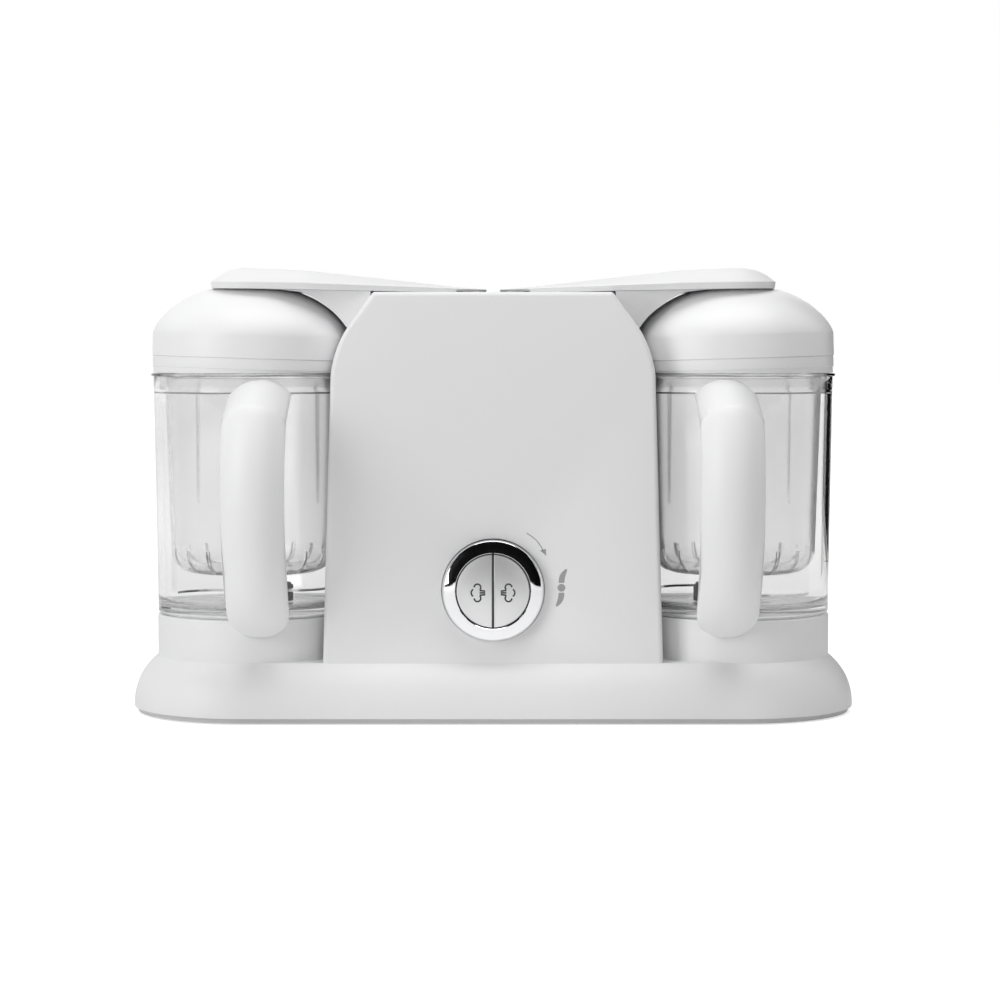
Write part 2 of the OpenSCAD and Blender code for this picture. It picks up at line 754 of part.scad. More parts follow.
seal_depth = 3;
seal_gap = 0.2;
module lid_seal() color("#e8e8e8") union() {
  on_lid() rotate_extrude() polygon([
    [bowl_in_top - 5.2, -seal_depth], [bowl_in_top - 2.6, -seal_depth], [bowl_in_top - 0.9, -1.9],
    [bowl_in_top - 0.9, liner_z - 0.8], [lid_in - 0.1, liner_z - 0.8], [lid_in - 0.1, liner_z],
    [bowl_in_top - 5.2, liner_z]
  ]);
  // wedge that lies on the bowl's level rim, under the tilted edge of the lid
  difference() {
    on_lid() ring(lid_r - band_step - 0.5, bowl_in_top - 1.5, -4, 0);
    at_bowl() translate([0, 0, bowl_top - 9]) cylinder(r = lid_r + 9, h = 9 + seal_gap);
  }
}

// ---- levers, arms and plugs

lever_flat_x = 20;
lever_under = col_top + 0.3;
lever_round = 26;

// Moves a frame whose z = 0 is the lever's underside
module on_lever() {
  translate([lever_flat_x, bowl_y, lever_under]) rotate([0, -lever_slope, 0])
    translate([-lever_flat_x, 0, 0]) children();
}

// Top outline of a lever: narrow at the hinge, broad and round at the outer end, moved in by inset
module lever_outline(inset = 0) {
  end = lever_end - inset;
  w = lever_w - inset;
  r = lever_round;
  hull() {
    translate([lever_tip + inset, -lever_tip_w + inset]) square([4, 2 * (lever_tip_w - inset)]);
    for (s = [-1, 1]) translate([end - r, s * (w - r)]) circle(r = r, $fn = 48);
    translate([end - 50, 0]) circle(r = w, $fn = 64);
  }
}

// Side outline of a lever's crown: x is the distance from the middle plane
module lever_side() {
  edge = lever_edge;
  crown_x = lever_end - 18;
  polygon([
    [lever_tip - 1, -1], [lever_end + 1, -1], [lever_end + 1, edge], [lever_end - 2, edge + 2.4],
    [lever_end - 10, lever_crown - 2], [crown_x, lever_crown], [crown_x - 24, lever_crown - 1.6],
    [88, lever_crown - 3], [60, lever_crown - 5.2], [34, lever_crown - 8.2], [lever_tip, 2.2], [lever_tip - 1, 2.2]
  ]);
}

module lever() color(white) difference() {
  union() {
    on_lever() intersection() {
      union() {
        linear_extrude(lever_edge) lever_outline();
        hull() {
          translate([0, 0, lever_edge - 0.1]) linear_extrude(0.1) lever_outline(0.3);
          translate([0, 0, lever_crown + 1]) linear_extrude(0.1) lever_outline(16);
        }
      }
      translate([0, lever_w + 1, 0]) rotate([90, 0, 0]) linear_extrude(2 * lever_w + 2) lever_side();
    }
    for (y = [-13, 6]) translate([0, bowl_y, 0]) {
      rod_y(4.4, hinge_x, hinge_z, y, y + 7);
      block([hinge_x - 4, y, hinge_z], [hinge_x + 4, y + 7, lever_under + 1.6]);
    }
  }
  // relief over the hinge, so that the tip can dip into the column
  translate([0, bowl_y - lever_w, lever_under - 3]) difference() {
    block([0, 0, 0], [lever_flat_x, 2 * lever_w, 4]);
    block([hinge_x - 4.4, lever_w - 13, -1], [hinge_x + 4.4, lever_w + 13, 5]);
  }
  rod_y(pin_r + 0.1, hinge_x, hinge_z, bowl_y - 20, bowl_y + 20);
}

// Space that the lever's underside takes, with a margin
module lever_under_cut(margin) {
  on_lever() block([lever_tip, -60, -margin], [lever_end + 60, 60, 30]);
}

module lid_space(grow) { on_lid() rotate_extrude() intersection() {
  lid_outline(grow);
  square([lid_r + 5, lid_h + 5]);
} }

arm_y0 = bowl_y - arm_w / 2;
arm_out = bowl_x - 18;
// front part of the arm, which reaches in to the column's slope beside the steam tube
arm_wing = 9;
arm_wing_w = arm_w - 14;
module arm() color(white) difference() {
  union() {
    block([arm_in, arm_y0, steam_z - 12], [arm_out, arm_y0 + arm_w, arm_top]);
    block([arm_in - arm_wing, arm_y0, steam_z - 12], [arm_in + 1, arm_y0 + arm_wing_w, arm_top]);
  }
  lid_space(0.1);
  translate([0, arm_y0 + arm_w + 1, 0]) rotate([90, 0, 0]) linear_extrude(arm_w + 2) arch(-1.2);
  steam_bore(steam_r + 0.6, arm_in - 1, arm_out);
  lever_under_cut(0.1);
}

module tank_plug() color(dark) {
  plug_bottom = col_top - 8;
  translate([boiler_x, boiler_y, plug_bottom]) {
    difference() {
      cylinder(r = plug_r, h = lever_under + 0.3 - plug_bottom);
      translate([0, 0, -1]) cylinder(r = plug_r - 2.4, h = 5);
      translate([-boiler_x, -boiler_y, -plug_bottom]) lever_under_cut(0.05);
    }
    translate([0, 0, 2]) ring(plug_r + 1, plug_r + 0.01, 0, 2.4);
  }
}

pin_r = 2;
pin_y0 = bowl_y - 20;
pin_y1 = bowl_y + 20;
module hinge_pin() color(steel) rod_y(pin_r, hinge_x, hinge_z, pin_y0, pin_y1);

pocket_z = hinge_z - 11.4;
pocket_y = 16.2;
pocket_x = 21;
module hinge_pockets() {
  for (m = [0, 1]) mirror([m, 0, 0])
    block([0.9, bowl_y - pocket_y, pocket_z], [pocket_x, bowl_y + pocket_y, col_top + 1]);
}

module hinge_block() color(pale) difference() {
  block([-pocket_x - 3, bowl_y - pocket_y - 6, pocket_z - 2.5], [pocket_x + 3, bowl_y + pocket_y + 6, roof_under]);
  hinge_pockets();
  for (m = [0, 1]) mirror([m, 0, 0]) rod_y(pin_r + fit, hinge_x, hinge_z, pin_y0, pin_y1);
}

// ---- column

module bowl_waist(extra, z0) {
  for (m = [0, 1]) mirror([m, 0, 0]) at_bowl()
    translate([0, 0, z0]) cylinder(r = waist_r + extra, h = col_top + 5 - z0);
}

knob_hole_r = knob_r + clear;
module column_cover() color(white) difference() {
  union() {
    hull() {
      translate([0, cover_back, 0]) rotate([90, 0, 0]) linear_extrude(cover_t - cover_round) arch();
      translate([0, cover_y + cover_round * 0.3, 0]) rotate([90, 0, 0]) linear_extrude(0.1) arch(cover_round * 0.3);
    }
    hull() {
      translate([0, cover_y + cover_round * 0.3 + 0.1, 0]) rotate([90, 0, 0]) linear_extrude(0.1) arch(cover_round * 0.3);
      translate([0, cover_y + 0.1, 0]) rotate([90, 0, 0]) linear_extrude(0.1) arch(cover_round);
    }
  }
  difference() {
    translate([0, cover_back + 1, 0]) rotate([90, 0, 0]) linear_extrude(cover_t - col_wall + 1) arch(col_wall, 2);
    rod_y(knob_hole_r + 3, 0, knob_z, cover_y, cover_back);
  }
  rod_y(knob_hole_r, 0, knob_z, cover_y - 1, cover_back + 1);
}

panel_hw = 46;
panel_z0 = 46;
panel_z1 = 160;
module column_body() color(white) difference() {
  union() {
    difference() {
      column_solid(cover_back);
      difference() {
        column_solid(cover_back - 1, col_wall, 2);
        bowl_waist(col_wall, 0);
      }
      block([-panel_hw + 4, col_back - 9, panel_z0 + 4], [panel_hw - 4, col_back + 1, panel_z1 - 4]);
    }
    for (x = [-1, 1], z = [panel_z0 + 7, panel_z1 - 7])
      rod_y(4, x * (panel_hw - 9), z, col_back - 10, col_back - 2.4);
  }
  bowl_waist(0, 0);
  block([-panel_hw, col_back - 2.2, panel_z0], [panel_hw, col_back + 1, panel_z1]);
  for (x = [-1, 1], z = [panel_z0 + 7, panel_z1 - 7])
    rod_y(1.3, x * (panel_hw - 9), z, col_back - 9, col_back);
  hinge_pockets();
  for (m = [0, 1]) mirror([m, 0, 0]) {
    rod_y(pin_r + clear, hinge_x, hinge_z, pin_y0 - 1, pin_y1 + 1);
    translate([boiler_x, boiler_y, roof_under - 5]) cylinder(r = collar_r + fit, h = 20);
    steam_bore(steam_r + 0.3, boiler_x + steam_dx, arm_in + 4);
  }
}

module rear_panel() color(white) difference() {
  block([-panel_hw + 0.2, col_back - 2.2, panel_z0 + 0.2], [panel_hw - 0.2, col_back, panel_z1 - 0.2]);
  for (x = [-1, 1], z = [panel_z0 + 7, panel_z1 - 7])
    rod_y(1.6, x * (panel_hw - 9), z, col_back - 5, col_back + 1);
  for (i = [0:7]) block([-24, col_back - 5, panel_z0 + 28 + 7 * i], [24, col_back + 1, panel_z0 + 31 + 7 * i]);
}

module panel_screws() color(steel) for (x = [-1, 1], z = [panel_z0 + 7, panel_z1 - 7]) difference() {
  union() {
    rod_y(2.9, x * (panel_hw - 9), z, col_back, col_back + 1.5);
    rod_y(1.25, x * (panel_hw - 9), z, col_back - 8.4, col_back + 0.1);
  }
  block([x * (panel_hw - 9) - 2, col_back + 0.8, z - 0.4], [x * (panel_hw - 9) + 2, col_back + 2, z + 0.4]);
  block([x * (panel_hw - 9) - 0.4, col_back + 0.8, z - 2], [x * (panel_hw - 9) + 0.4, col_back + 2, z + 2]);
}

inlet_x = 60;
inlet_z = 16;
inlet_r = 6.5;
inlet_hole = 3.6;
module cord_inlet() color(dark) difference() {
  union() {
    rod_y(inlet_r, inlet_x, inlet_z, base_back - 12, base_back);
    rod_y(inlet_r + 2, inlet_x, inlet_z, deck_back - 2, deck_back + 2.4);
  }
  rod_y(inlet_hole, inlet_x, inlet_z, deck_back - 8, base_back + 2);
}

// ---- boilers

neck_z0 = boiler_z + boiler_h;
steam_dx = 13;
module boiler() color(steel) translate([boiler_x, boiler_y, 0]) difference() {
  translate([0, 0, boiler_z]) cylinder(r = boiler_r, h = boiler_h);
  translate([0, 0, boiler_z + boiler_wall]) cylinder(r = boiler_r - boiler_wall, h = boiler_h - 2 * boiler_wall);
  translate([0, 0, neck_z0 - 5]) cylinder(r = neck_r, h = 10);
  translate([steam_dx, steam_dy, neck_z0 - 5]) cylinder(r = steam_r - 0.8, h = 10);
}

module heater() color("#8a8d90") translate([boiler_x, boiler_y, 0]) {
  translate([0, 0, boiler_z - 4]) cylinder(r = boiler_r - 1, h = 4);
  translate([0, 0, boiler_z - 8]) rotate_extrude() translate([boiler_r - 8, 0]) circle(r = 4.02);
  for (a = [0, 120, 240]) rotate(a) translate([boiler_r - 4, 0, base_h])
    cylinder(r = 2.5, h = boiler_z - 4 - base_h);
}

// The neck's collar fills the round hole in the column's roof
neck_wall = 1.4;
collar_r = neck_r + 4.4;
module filler_neck() color(pale) translate([boiler_x, boiler_y, 0]) union() {
  ring(neck_r + neck_wall, neck_r, neck_z0, col_top);
  ring(collar_r, neck_r, roof_under, col_top);
}

module steam_tube() color("#d9d4c8") translate([boiler_x + steam_dx, boiler_y + steam_dy, 0]) difference() {
  union() {
    translate([0, 0, neck_z0]) cylinder(r = steam_r, h = steam_z - neck_z0);
    translate([0, 0, steam_z]) sphere(r = steam_r);
    rod_x(steam_r, 0, steam_z, 0, arm_in - 0.5 - boiler_x - steam_dx);
  }
  translate([0, 0, neck_z0 - 1]) cylinder(r = steam_r - 0.8, h = steam_z - neck_z0 + 1);
  rod_x(steam_r - 0.8, 0, steam_z, 0, arm_in);
}

// ---- knob, buttons and control board

carrier_y = cover_back;
carrier_in = button_r + 0.25;
carrier_out = knob_in - 0.25;
button_face = cover_y - knob_out + 0.5;
stem_r = 2.5;
stem_x = 9;
board_y = carrier_y + 12;
module knob_carrier() color(dark) difference() {
  union() {
    rod_y(knob_r + 9, 0, knob_z, carrier_y, carrier_y + 2);
    rod_y(carrier_out, 0, knob_z, button_face + 1.6, carrier_y + 1);
    for (x = [-1, 1], z = [-1, 1]) rod_y(2.2, 27 * x, knob_z + 20 * z, carrier_y + 1, board_y);
  }
  rod_y(carrier_in, 0, knob_z, button_face - 9, carrier_y - 2);
  for (s = [-1, 1]) rod_y(stem_r + fit, s * stem_x, knob_z, cover_y, board_y);
}

module knob_ring() color("silver") translate([0, 0, knob_z]) rotate([90, 0, 0]) difference() {
  rotate_extrude() difference() {
    union() {
      translate([knob_in, -carrier_y + clear]) square([knob_r - knob_in, knob_out + cover_t - clear - 3.4]);
      translate([(knob_in + knob_r) / 2, -cover_y + knob_out - 3.4]) circle(r = (knob_r - knob_in) / 2);
    }
    translate([knob_r - 2.2, -carrier_y]) square([3, cover_t - 3]);
  }
}

module knob_spring() color(steel) translate([0, 0, knob_z]) rotate([90, 0, 0])
  rotate_extrude() translate([knob_r - 0.9, -carrier_y + 0.1]) square([1.2, cover_t - 4]);

module button() color("silver") {
  intersection() {
    rod_y(button_r, 0, knob_z, button_face, carrier_y - 2.4 - button_travel - 1);
    block([button_gap / 2, button_face - 1, knob_z - 30], [30, carrier_y, knob_z + 30]);
  }
  rod_y(stem_r, stem_x, knob_z, button_face + 2, board_y - switch_h - button_travel - 0.4);
}

switch_h = 4;
module control_board() color("#2f6b46") difference() {
  block([-34, board_y, knob_z - 26], [34, board_y + 1.6, knob_z + 40]);
  for (x = [-1, 1]) rod_y(1.2, 30 * x, knob_z + 34, board_y - 1, board_y + 4);
}

module switches() color(dark) {
  for (s = [-1, 1]) {
    block([s * stem_x - 4, board_y - switch_h + 1, knob_z - 4], [s * stem_x + 4, board_y, knob_z + 4]);
    rod_y(1.6, s * stem_x, knob_z, board_y - switch_h, board_y - switch_h + 1.1);
  }
  block([-7, board_y - 7, knob_z + 22], [7, board_y, knob_z + 34]);
}

// ---- drawing

base_shell();
base_plate();
feet();
base_screws();
on_left() seat();  // seat_left
seat();  // seat_right
column_cover();
column_body();
rear_panel();
panel_screws();
hinge_block();
on_left() hinge_pin();  // hinge_pin_left
hinge_pin();  // hinge_pin_right
on_left() lever();  // lever_left
lever();  // lever_right
on_left() arm();  // arm_left
arm();  // arm_right
on_left() lid();  // lid_left
lid();  // lid_right
on_left() lid_liner();  // lid_liner_left
lid_liner();  // lid_liner_right
on_left() lid_seal();  // lid_seal_left
lid_seal();  // lid_seal_right
on_left() tank_plug();  // tank_plug_left
tank_plug();  // tank_plug_right
on_left() bowl();  // bowl_left
bowl();  // bowl_right
on_left() handle();  // handle_left
handle();  // handle_right
on_left() basket();  // basket_left
basket();  // basket_right
blade(-1, 180);  // blade_left
blade(1, 0);  // blade_right
hub(-1, 180);  // hub_left
hub(1, 0);  // hub_right
coupling(-1, 180);  // coupling_left
coupling(1, 0);  // coupling_right
on_left() rotor();  // rotor_left
rotor();  // rotor_right
on_left() motor();  // motor_left
motor();  // motor_right
motor_screws();
shaft_bushes();
on_left() boiler();  // boiler_left
boiler();  // boiler_right
on_left() heater();  // heater_left
heater();  // heater_right
on_left() filler_neck();  // filler_neck_left
filler_neck();  // filler_neck_right
on_left() steam_tube();  // steam_tube_left
steam_tube();  // steam_tube_right
knob_carrier();
knob_ring();
knob_spring();
on_left() button();  // button_left
button();  // button_right
control_board();
switches();
cord_inlet();
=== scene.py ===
from math import acos, cos, degrees, hypot, pi, radians, sin, sqrt, tan

import bmesh
import bpy
from mathutils import Matrix, Vector


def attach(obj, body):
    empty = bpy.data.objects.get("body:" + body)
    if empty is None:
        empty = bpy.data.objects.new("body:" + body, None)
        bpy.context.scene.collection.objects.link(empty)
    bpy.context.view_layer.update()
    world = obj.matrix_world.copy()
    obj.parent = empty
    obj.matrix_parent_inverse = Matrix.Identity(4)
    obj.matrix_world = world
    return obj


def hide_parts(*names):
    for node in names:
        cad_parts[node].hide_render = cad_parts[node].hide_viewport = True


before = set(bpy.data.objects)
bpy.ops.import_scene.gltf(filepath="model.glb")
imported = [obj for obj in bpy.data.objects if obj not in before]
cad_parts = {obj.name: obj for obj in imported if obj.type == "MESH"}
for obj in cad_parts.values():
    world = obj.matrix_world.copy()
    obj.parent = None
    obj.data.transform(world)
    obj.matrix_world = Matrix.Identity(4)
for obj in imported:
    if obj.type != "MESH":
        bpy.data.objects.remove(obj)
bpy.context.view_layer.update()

scene = bpy.context.scene
SIDES = (("left", -1), ("right", 1))

# ---- studio: camera, white floor and soft lamps
# A white board under three softboxes: the key on the left, a broad one overhead, a weak fill in
# front. Polished and clear parts also see two black cards: the one over the camera gives the
# knob its dark band, the one on the right draws the edges of the bowls.
AIR_LEVEL = 0.27
FLOOR_NEAR, FLOOR_FAR, FLOOR_DIM = 0.66, 1.0, 0.42
camera_data = bpy.data.cameras.new("studio_camera")
camera_data.lens = 91.8
camera_data.sensor_width = 36
camera = bpy.data.objects.new("studio_camera", camera_data)
camera.location = (0.0037, -1.408, 0.195)
camera.rotation_euler = (radians(86.75), 0, 0)
scene.collection.objects.link(camera)
scene.camera = camera
scene.view_settings.view_transform = "Standard"


def wire(tree, source, target):
    tree.links.new(source, target)


def add(tree, kind, **settings):
    made = tree.nodes.new(kind)
    for key, value in settings.items():
        setattr(made, key, value)
    return made


def seen_direct(tree):
    """1 for camera, mirror and glass rays: what sees the background."""
    path = add(tree, "ShaderNodeLightPath")
    first = add(tree, "ShaderNodeMath", operation="MAXIMUM")
    both = add(tree, "ShaderNodeMath", operation="MAXIMUM")
    wire(tree, path.outputs["Is Camera Ray"], first.inputs[0])
    wire(tree, path.outputs["Is Transmission Ray"], first.inputs[1])
    wire(tree, first.outputs[0], both.inputs[0])
    wire(tree, path.outputs["Is Glossy Ray"], both.inputs[1])
    return both.outputs[0]


world = bpy.data.worlds.new("studio_air")
scene.world = world
world.use_nodes = True
tree = world.node_tree
back = tree.nodes["Background"]
seen = seen_direct(tree)
level = add(tree, "ShaderNodeMapRange")
level.inputs["To Min"].default_value = AIR_LEVEL
level.inputs["To Max"].default_value = 1.0
wire(tree, seen, level.inputs["Value"])
wire(tree, level.outputs[0], back.inputs["Strength"])
back.inputs["Color"].default_value = (1, 1, 1, 1)

floor_mat = bpy.data.materials.new("white_board")
floor_mat.use_nodes = True
tree = floor_mat.node_tree
board = tree.nodes["Principled BSDF"]
board.inputs["Base Color"].default_value = (0.86, 0.86, 0.86, 1)
board.inputs["Roughness"].default_value = 0.9
board.inputs["Specular IOR Level"].default_value = 0.1
board.inputs["Emission Color"].default_value = (1, 1, 1, 1)
seen = seen_direct(tree)
place = add(tree, "ShaderNodeTexCoord")
reach = add(tree, "ShaderNodeVectorMath", operation="LENGTH")
wire(tree, place.outputs["Object"], reach.inputs[0])
fade = add(tree, "ShaderNodeMapRange", interpolation_type="SMOOTHSTEP")
for socket, value in (("From Min", 0.5), ("From Max", 1.6), ("To Min", FLOOR_NEAR), ("To Max", FLOOR_FAR)):
    fade.inputs[socket].default_value = value
wire(tree, reach.outputs["Value"], fade.inputs["Value"])
path = add(tree, "ShaderNodeLightPath")
less = add(tree, "ShaderNodeMath", operation="MULTIPLY_ADD")
less.inputs[1].default_value = -FLOOR_DIM
bent = add(tree, "ShaderNodeMath", operation="MAXIMUM")
wire(tree, path.outputs["Is Transmission Ray"], bent.inputs[0])
wire(tree, path.outputs["Is Glossy Ray"], bent.inputs[1])
wire(tree, bent.outputs[0], less.inputs[0])
wire(tree, fade.outputs["Result"], less.inputs[2])
lift = add(tree, "ShaderNodeMath", operation="MULTIPLY")
wire(tree, less.outputs[0], lift.inputs[1])
wire(tree, seen, lift.inputs[0])
wire(tree, lift.outputs[0], board.inputs["Emission Strength"])
bm = bmesh.new()
bmesh.ops.create_circle(bm, cap_ends=True, radius=14, segments=64)
floor_mesh = bpy.data.meshes.new("floor_board")
bm.to_mesh(floor_mesh)
bm.free()
floor_mesh.materials.append(floor_mat)
floor_board = bpy.data.objects.new("floor_board", floor_mesh)
scene.collection.objects.link(floor_board)


def softbox(name, place, aim, size, watts):
    data = bpy.data.lights.new(name, "AREA")
    data.shape = "RECTANGLE"
    data.size, data.size_y = size
    data.energy = watts
    lamp = bpy.data.objects.new(name, data)
    lamp.location = place
    lamp.rotation_euler = (Vector(aim) - Vector(place)).to_track_quat("-Z", "Y").to_euler()
    scene.collection.objects.link(lamp)


card_mat = bpy.data.materials.new("dark_card")
card_mat.use_nodes = True
black = card_mat.node_tree.nodes["Principled BSDF"]
black.inputs["Base Color"].default_value = (0.01, 0.01, 0.01, 1)
black.inputs["Specular IOR Level"].default_value = 0


def shift(bm, x, y, z):
    bmesh.ops.translate(bm, vec=(x, y, z), verts=bm.verts[:])


def rotated(bm, angle, axis):
    """Turns the mesh about a main axis through the origin, in degrees."""
    bmesh.ops.rotate(bm, cent=(0, 0, 0), matrix=Matrix.Rotation(radians(angle), 3, axis), verts=bm.verts[:])


def card(name, size, place, tilt, seen_by):
    """A flat black card that only some kinds of ray can see."""
    bm = bmesh.new()
    bmesh.ops.create_grid(bm, x_segments=1, y_segments=1, size=0.5)
    bmesh.ops.scale(bm, vec=(*size, 1), verts=bm.verts[:])
    rotated(bm, tilt, "X")
    shift(bm, *place)
    mesh = bpy.data.meshes.new(name)
    bm.to_mesh(mesh)
    bm.free()
    mesh.materials.append(card_mat)
    made = bpy.data.objects.new(name, mesh)
    scene.collection.objects.link(made)
    for ray in ("camera", "diffuse", "glossy", "transmission", "shadow", "volume_scatter"):
        setattr(made, f"visible_{ray}", ray in seen_by)


card("card_over", (6.0, 2.4), (0, -0.88, 0.88), 45, ("glossy",))
card("card_right", (0.8, 1.2), (0.84, 0.75, 0.58), 90, ("glossy", "transmission"))
softbox("softbox_over", (0.08, -0.25, 1.5), (0.02, 0, 0.1), (1.4, 0.9), 13)
softbox("softbox_left", (-1.5, -1.25, 0.75), (0, 0, 0.12), (1.0, 1.3), 14.5)
softbox("softbox_front", (0.35, -2.6, 0.55), (0, 0, 0.12), (1.6, 0.9), 3)


# ---- base: skirted shell, foot band, feet and screws
# The shell is injection-moulded ABS in white; the foot band is the edge of the grey bottom
# plate, held up into the shell by six screws; eight rubber feet are pushed into it.
def moulded_skin():
    """Node group: the faint cloudiness and fine spark texture of moulded plastic."""
    group = bpy.data.node_groups.new("moulded_skin", "ShaderNodeTree")
    face = group.interface
    face.new_socket("Vector", in_out="INPUT", socket_type="NodeSocketVector")
    for name, start in (("Colour", None), ("Cloud", 0.02), ("Roughness", 0.4), ("Spread", 0.04),
                        ("Grain", 900.0)):
        kind = "NodeSocketColor" if start is None else "NodeSocketFloat"
        socket = face.new_socket(name, in_out="INPUT", socket_type=kind)
        if start is not None:
            socket.default_value = start
    face.new_socket("Colour", in_out="OUTPUT", socket_type="NodeSocketColor")
    face.new_socket("Roughness", in_out="OUTPUT", socket_type="NodeSocketFloat")
    face.new_socket("Height", in_out="OUTPUT", socket_type="NodeSocketFloat")
    way_in = add(group, "NodeGroupInput")
    way_out = add(group, "NodeGroupOutput")
    cloud = add(group, "ShaderNodeTexNoise")
    cloud.inputs["Scale"].default_value = 14
    cloud.inputs["Detail"].default_value = 3
    wire(group, way_in.outputs["Vector"], cloud.inputs["Vector"])
    spread = add(group, "ShaderNodeMath", operation="SUBTRACT")
    spread.inputs[1].default_value = 0.5
    wire(group, cloud.outputs["Fac"], spread.inputs[0])
    dim = add(group, "ShaderNodeMath", operation="MULTIPLY_ADD")
    wire(group, spread.outputs[0], dim.inputs[0])
    wire(group, way_in.outputs["Cloud"], dim.inputs[1])
    dim.inputs[2].default_value = 1
    tint = add(group, "ShaderNodeVectorMath", operation="SCALE")
    wire(group, way_in.outputs["Colour"], tint.inputs[0])
    wire(group, dim.outputs[0], tint.inputs["Scale"])
    wire(group, tint.outputs[0], way_out.inputs["Colour"])
    rough = add(group, "ShaderNodeMath", operation="MULTIPLY_ADD")
    wire(group, spread.outputs[0], rough.inputs[0])
    wire(group, way_in.outputs["Spread"], rough.inputs[1])
    wire(group, way_in.outputs["Roughness"], rough.inputs[2])
    wire(group, rough.outputs[0], way_out.inputs["Roughness"])
    grain = add(group, "ShaderNodeTexNoise")
    grain.inputs["Detail"].default_value = 2
    wire(group, way_in.outputs["Vector"], grain.inputs["Vector"])
    wire(group, way_in.outputs["Grain"], grain.inputs["Scale"])
    wire(group, grain.outputs["Fac"], way_out.inputs["Height"])
    return group


MOULDED_SKIN = moulded_skin()


def plastic(name, colour, roughness, cloud=0.02, spread=0.05, grain=1100, relief=0.02, **fixed):
    """Plastic, rubber or paint: the skin group feeds a Principled shader."""
    made = bpy.data.materials.new(name)
    made.use_nodes = True
    tree = made.node_tree
    shader = tree.nodes["Principled BSDF"]
    place = add(tree, "ShaderNodeTexCoord")
    skin = add(tree, "ShaderNodeGroup", node_tree=MOULDED_SKIN)
    wire(tree, place.outputs["Object"], skin.inputs["Vector"])
    skin.inputs["Colour"].default_value = (*colour, 1)
    skin.inputs["Cloud"].default_value = cloud
    skin.inputs["Roughness"].default_value = roughness
    skin.inputs["Spread"].default_value = spread
    skin.inputs["Grain"].default_value = grain
    bump = add(tree, "ShaderNodeBump")
    bump.inputs["Strength"].default_value = relief
    bump.inputs["Distance"].default_value = 0.0002
    wire(tree, skin.outputs["Colour"], shader.inputs["Base Color"])
    wire(tree, skin.outputs["Roughness"], shader.inputs["Roughness"])
    wire(tree, skin.outputs["Height"], bump.inputs["Height"])
    wire(tree, bump.outputs["Normal"], shader.inputs["Normal"])
    for socket, value in fixed.items():
        shader.inputs[socket.replace("_", " ")].default_value = value
    return made


def soft_shading():
    """Geometry group: smooth shading with a crease wherever two faces meet at a clear angle."""
    group = bpy.data.node_groups.new("soft_shading", "GeometryNodeTree")
    group.interface.new_socket("Geometry", in_out="INPUT", socket_type="NodeSocketGeometry")
    limit = group.interface.new_socket("Crease", in_out="INPUT", socket_type="NodeSocketFloat")
    limit.default_value = radians(32)
    group.interface.new_socket("Geometry", in_out="OUTPUT", socket_type="NodeSocketGeometry")
    way_in = add(group, "NodeGroupInput")
    way_out = add(group, "NodeGroupOutput")
    faces = add(group, "GeometryNodeSetShadeSmooth", domain="FACE")
    edges = add(group, "GeometryNodeSetShadeSmooth", domain="EDGE")
    edges.inputs["Shade Smooth"].default_value = False
    angle = add(group, "GeometryNodeInputMeshEdgeAngle")
    over = add(group, "FunctionNodeCompare", data_type="FLOAT", operation="GREATER_THAN")
    wire(group, angle.outputs["Unsigned Angle"], over.inputs[0])
    wire(group, way_in.outputs["Crease"], over.inputs[1])
    wire(group, way_in.outputs["Geometry"], faces.inputs["Geometry"])
    wire(group, faces.outputs["Geometry"], edges.inputs["Geometry"])
    wire(group, over.outputs[0], edges.inputs["Selection"])
    wire(group, edges.outputs["Geometry"], way_out.inputs["Geometry"])
    return group


SOFT_SHADING = soft_shading()


def dress(node, material):
    """A CAD node keeps its shape: its triangles are joined, shaded softly and finished."""
    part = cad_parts[node]
    for held in part.material_slots:
        held.material = material
    weld = part.modifiers.new("join", "WELD")
    weld.merge_threshold = 1e-6
    shade = part.modifiers.new("shade", "NODES")
    shade.node_group = SOFT_SHADING


white_satin = plastic("white_satin", (0.835, 0.835, 0.84), 0.42, relief=0.03)
pale_grey = plastic("pale_grey", (0.62, 0.62, 0.625), 0.5)
black_rubber = plastic("black_rubber", (0.03, 0.03, 0.032), 0.75, cloud=0.2, relief=0.2, grain=500)
dress("base_shell", white_satin)
dress("base_plate", pale_grey)
dress("feet", black_rubber)


# ---- bowl seats
# Each seat is a white ring screwed down over its motor, with a recess and three bayonet tabs
# that take the bowl's lugs.
BOWL_X, BOWL_Y = 132.3, -8.0
MM = 0.001


def outline(bm, points, rounds=()):
    """A flat face through the (x, z) points, in millimetres, with some of its corners rounded."""
    verts = [bm.verts.new((x, 0, z)) for x, z in points]
    bm.faces.new(verts)
    for corners, radius, segments in rounds:
        chosen = [verts[i] for i in corners]
        bmesh.ops.bevel(bm, geom=chosen, offset=radius, segments=segments, affect="VERTICES",
                        profile=0.5, material=-1)
    bm.normal_update()


def turned(bm, steps=96):
    """Spins the edge of the flat face in bm all the way round the Z axis."""
    bmesh.ops.delete(bm, geom=bm.faces[:], context="FACES_ONLY")
    bmesh.ops.spin(bm, geom=bm.verts[:] + bm.edges[:], cent=(0, 0, 0), axis=(0, 0, 1), angle=2 * pi,
                   steps=steps, use_merge=True)
    bmesh.ops.remove_doubles(bm, verts=bm.verts[:], dist=1e-4)


def swept(bm, steps, start, reach):
    """Spins the flat face in bm part of the way round the Z axis, from start on, in degrees."""
    bmesh.ops.spin(bm, geom=bm.verts[:] + bm.edges[:] + bm.faces[:], cent=(0, 0, 0), axis=(0, 0, 1),
                   angle=radians(reach), steps=steps, use_merge=False)
    bmesh.ops.remove_doubles(bm, verts=bm.verts[:], dist=1e-4)
    rotated(bm, start, "Z")


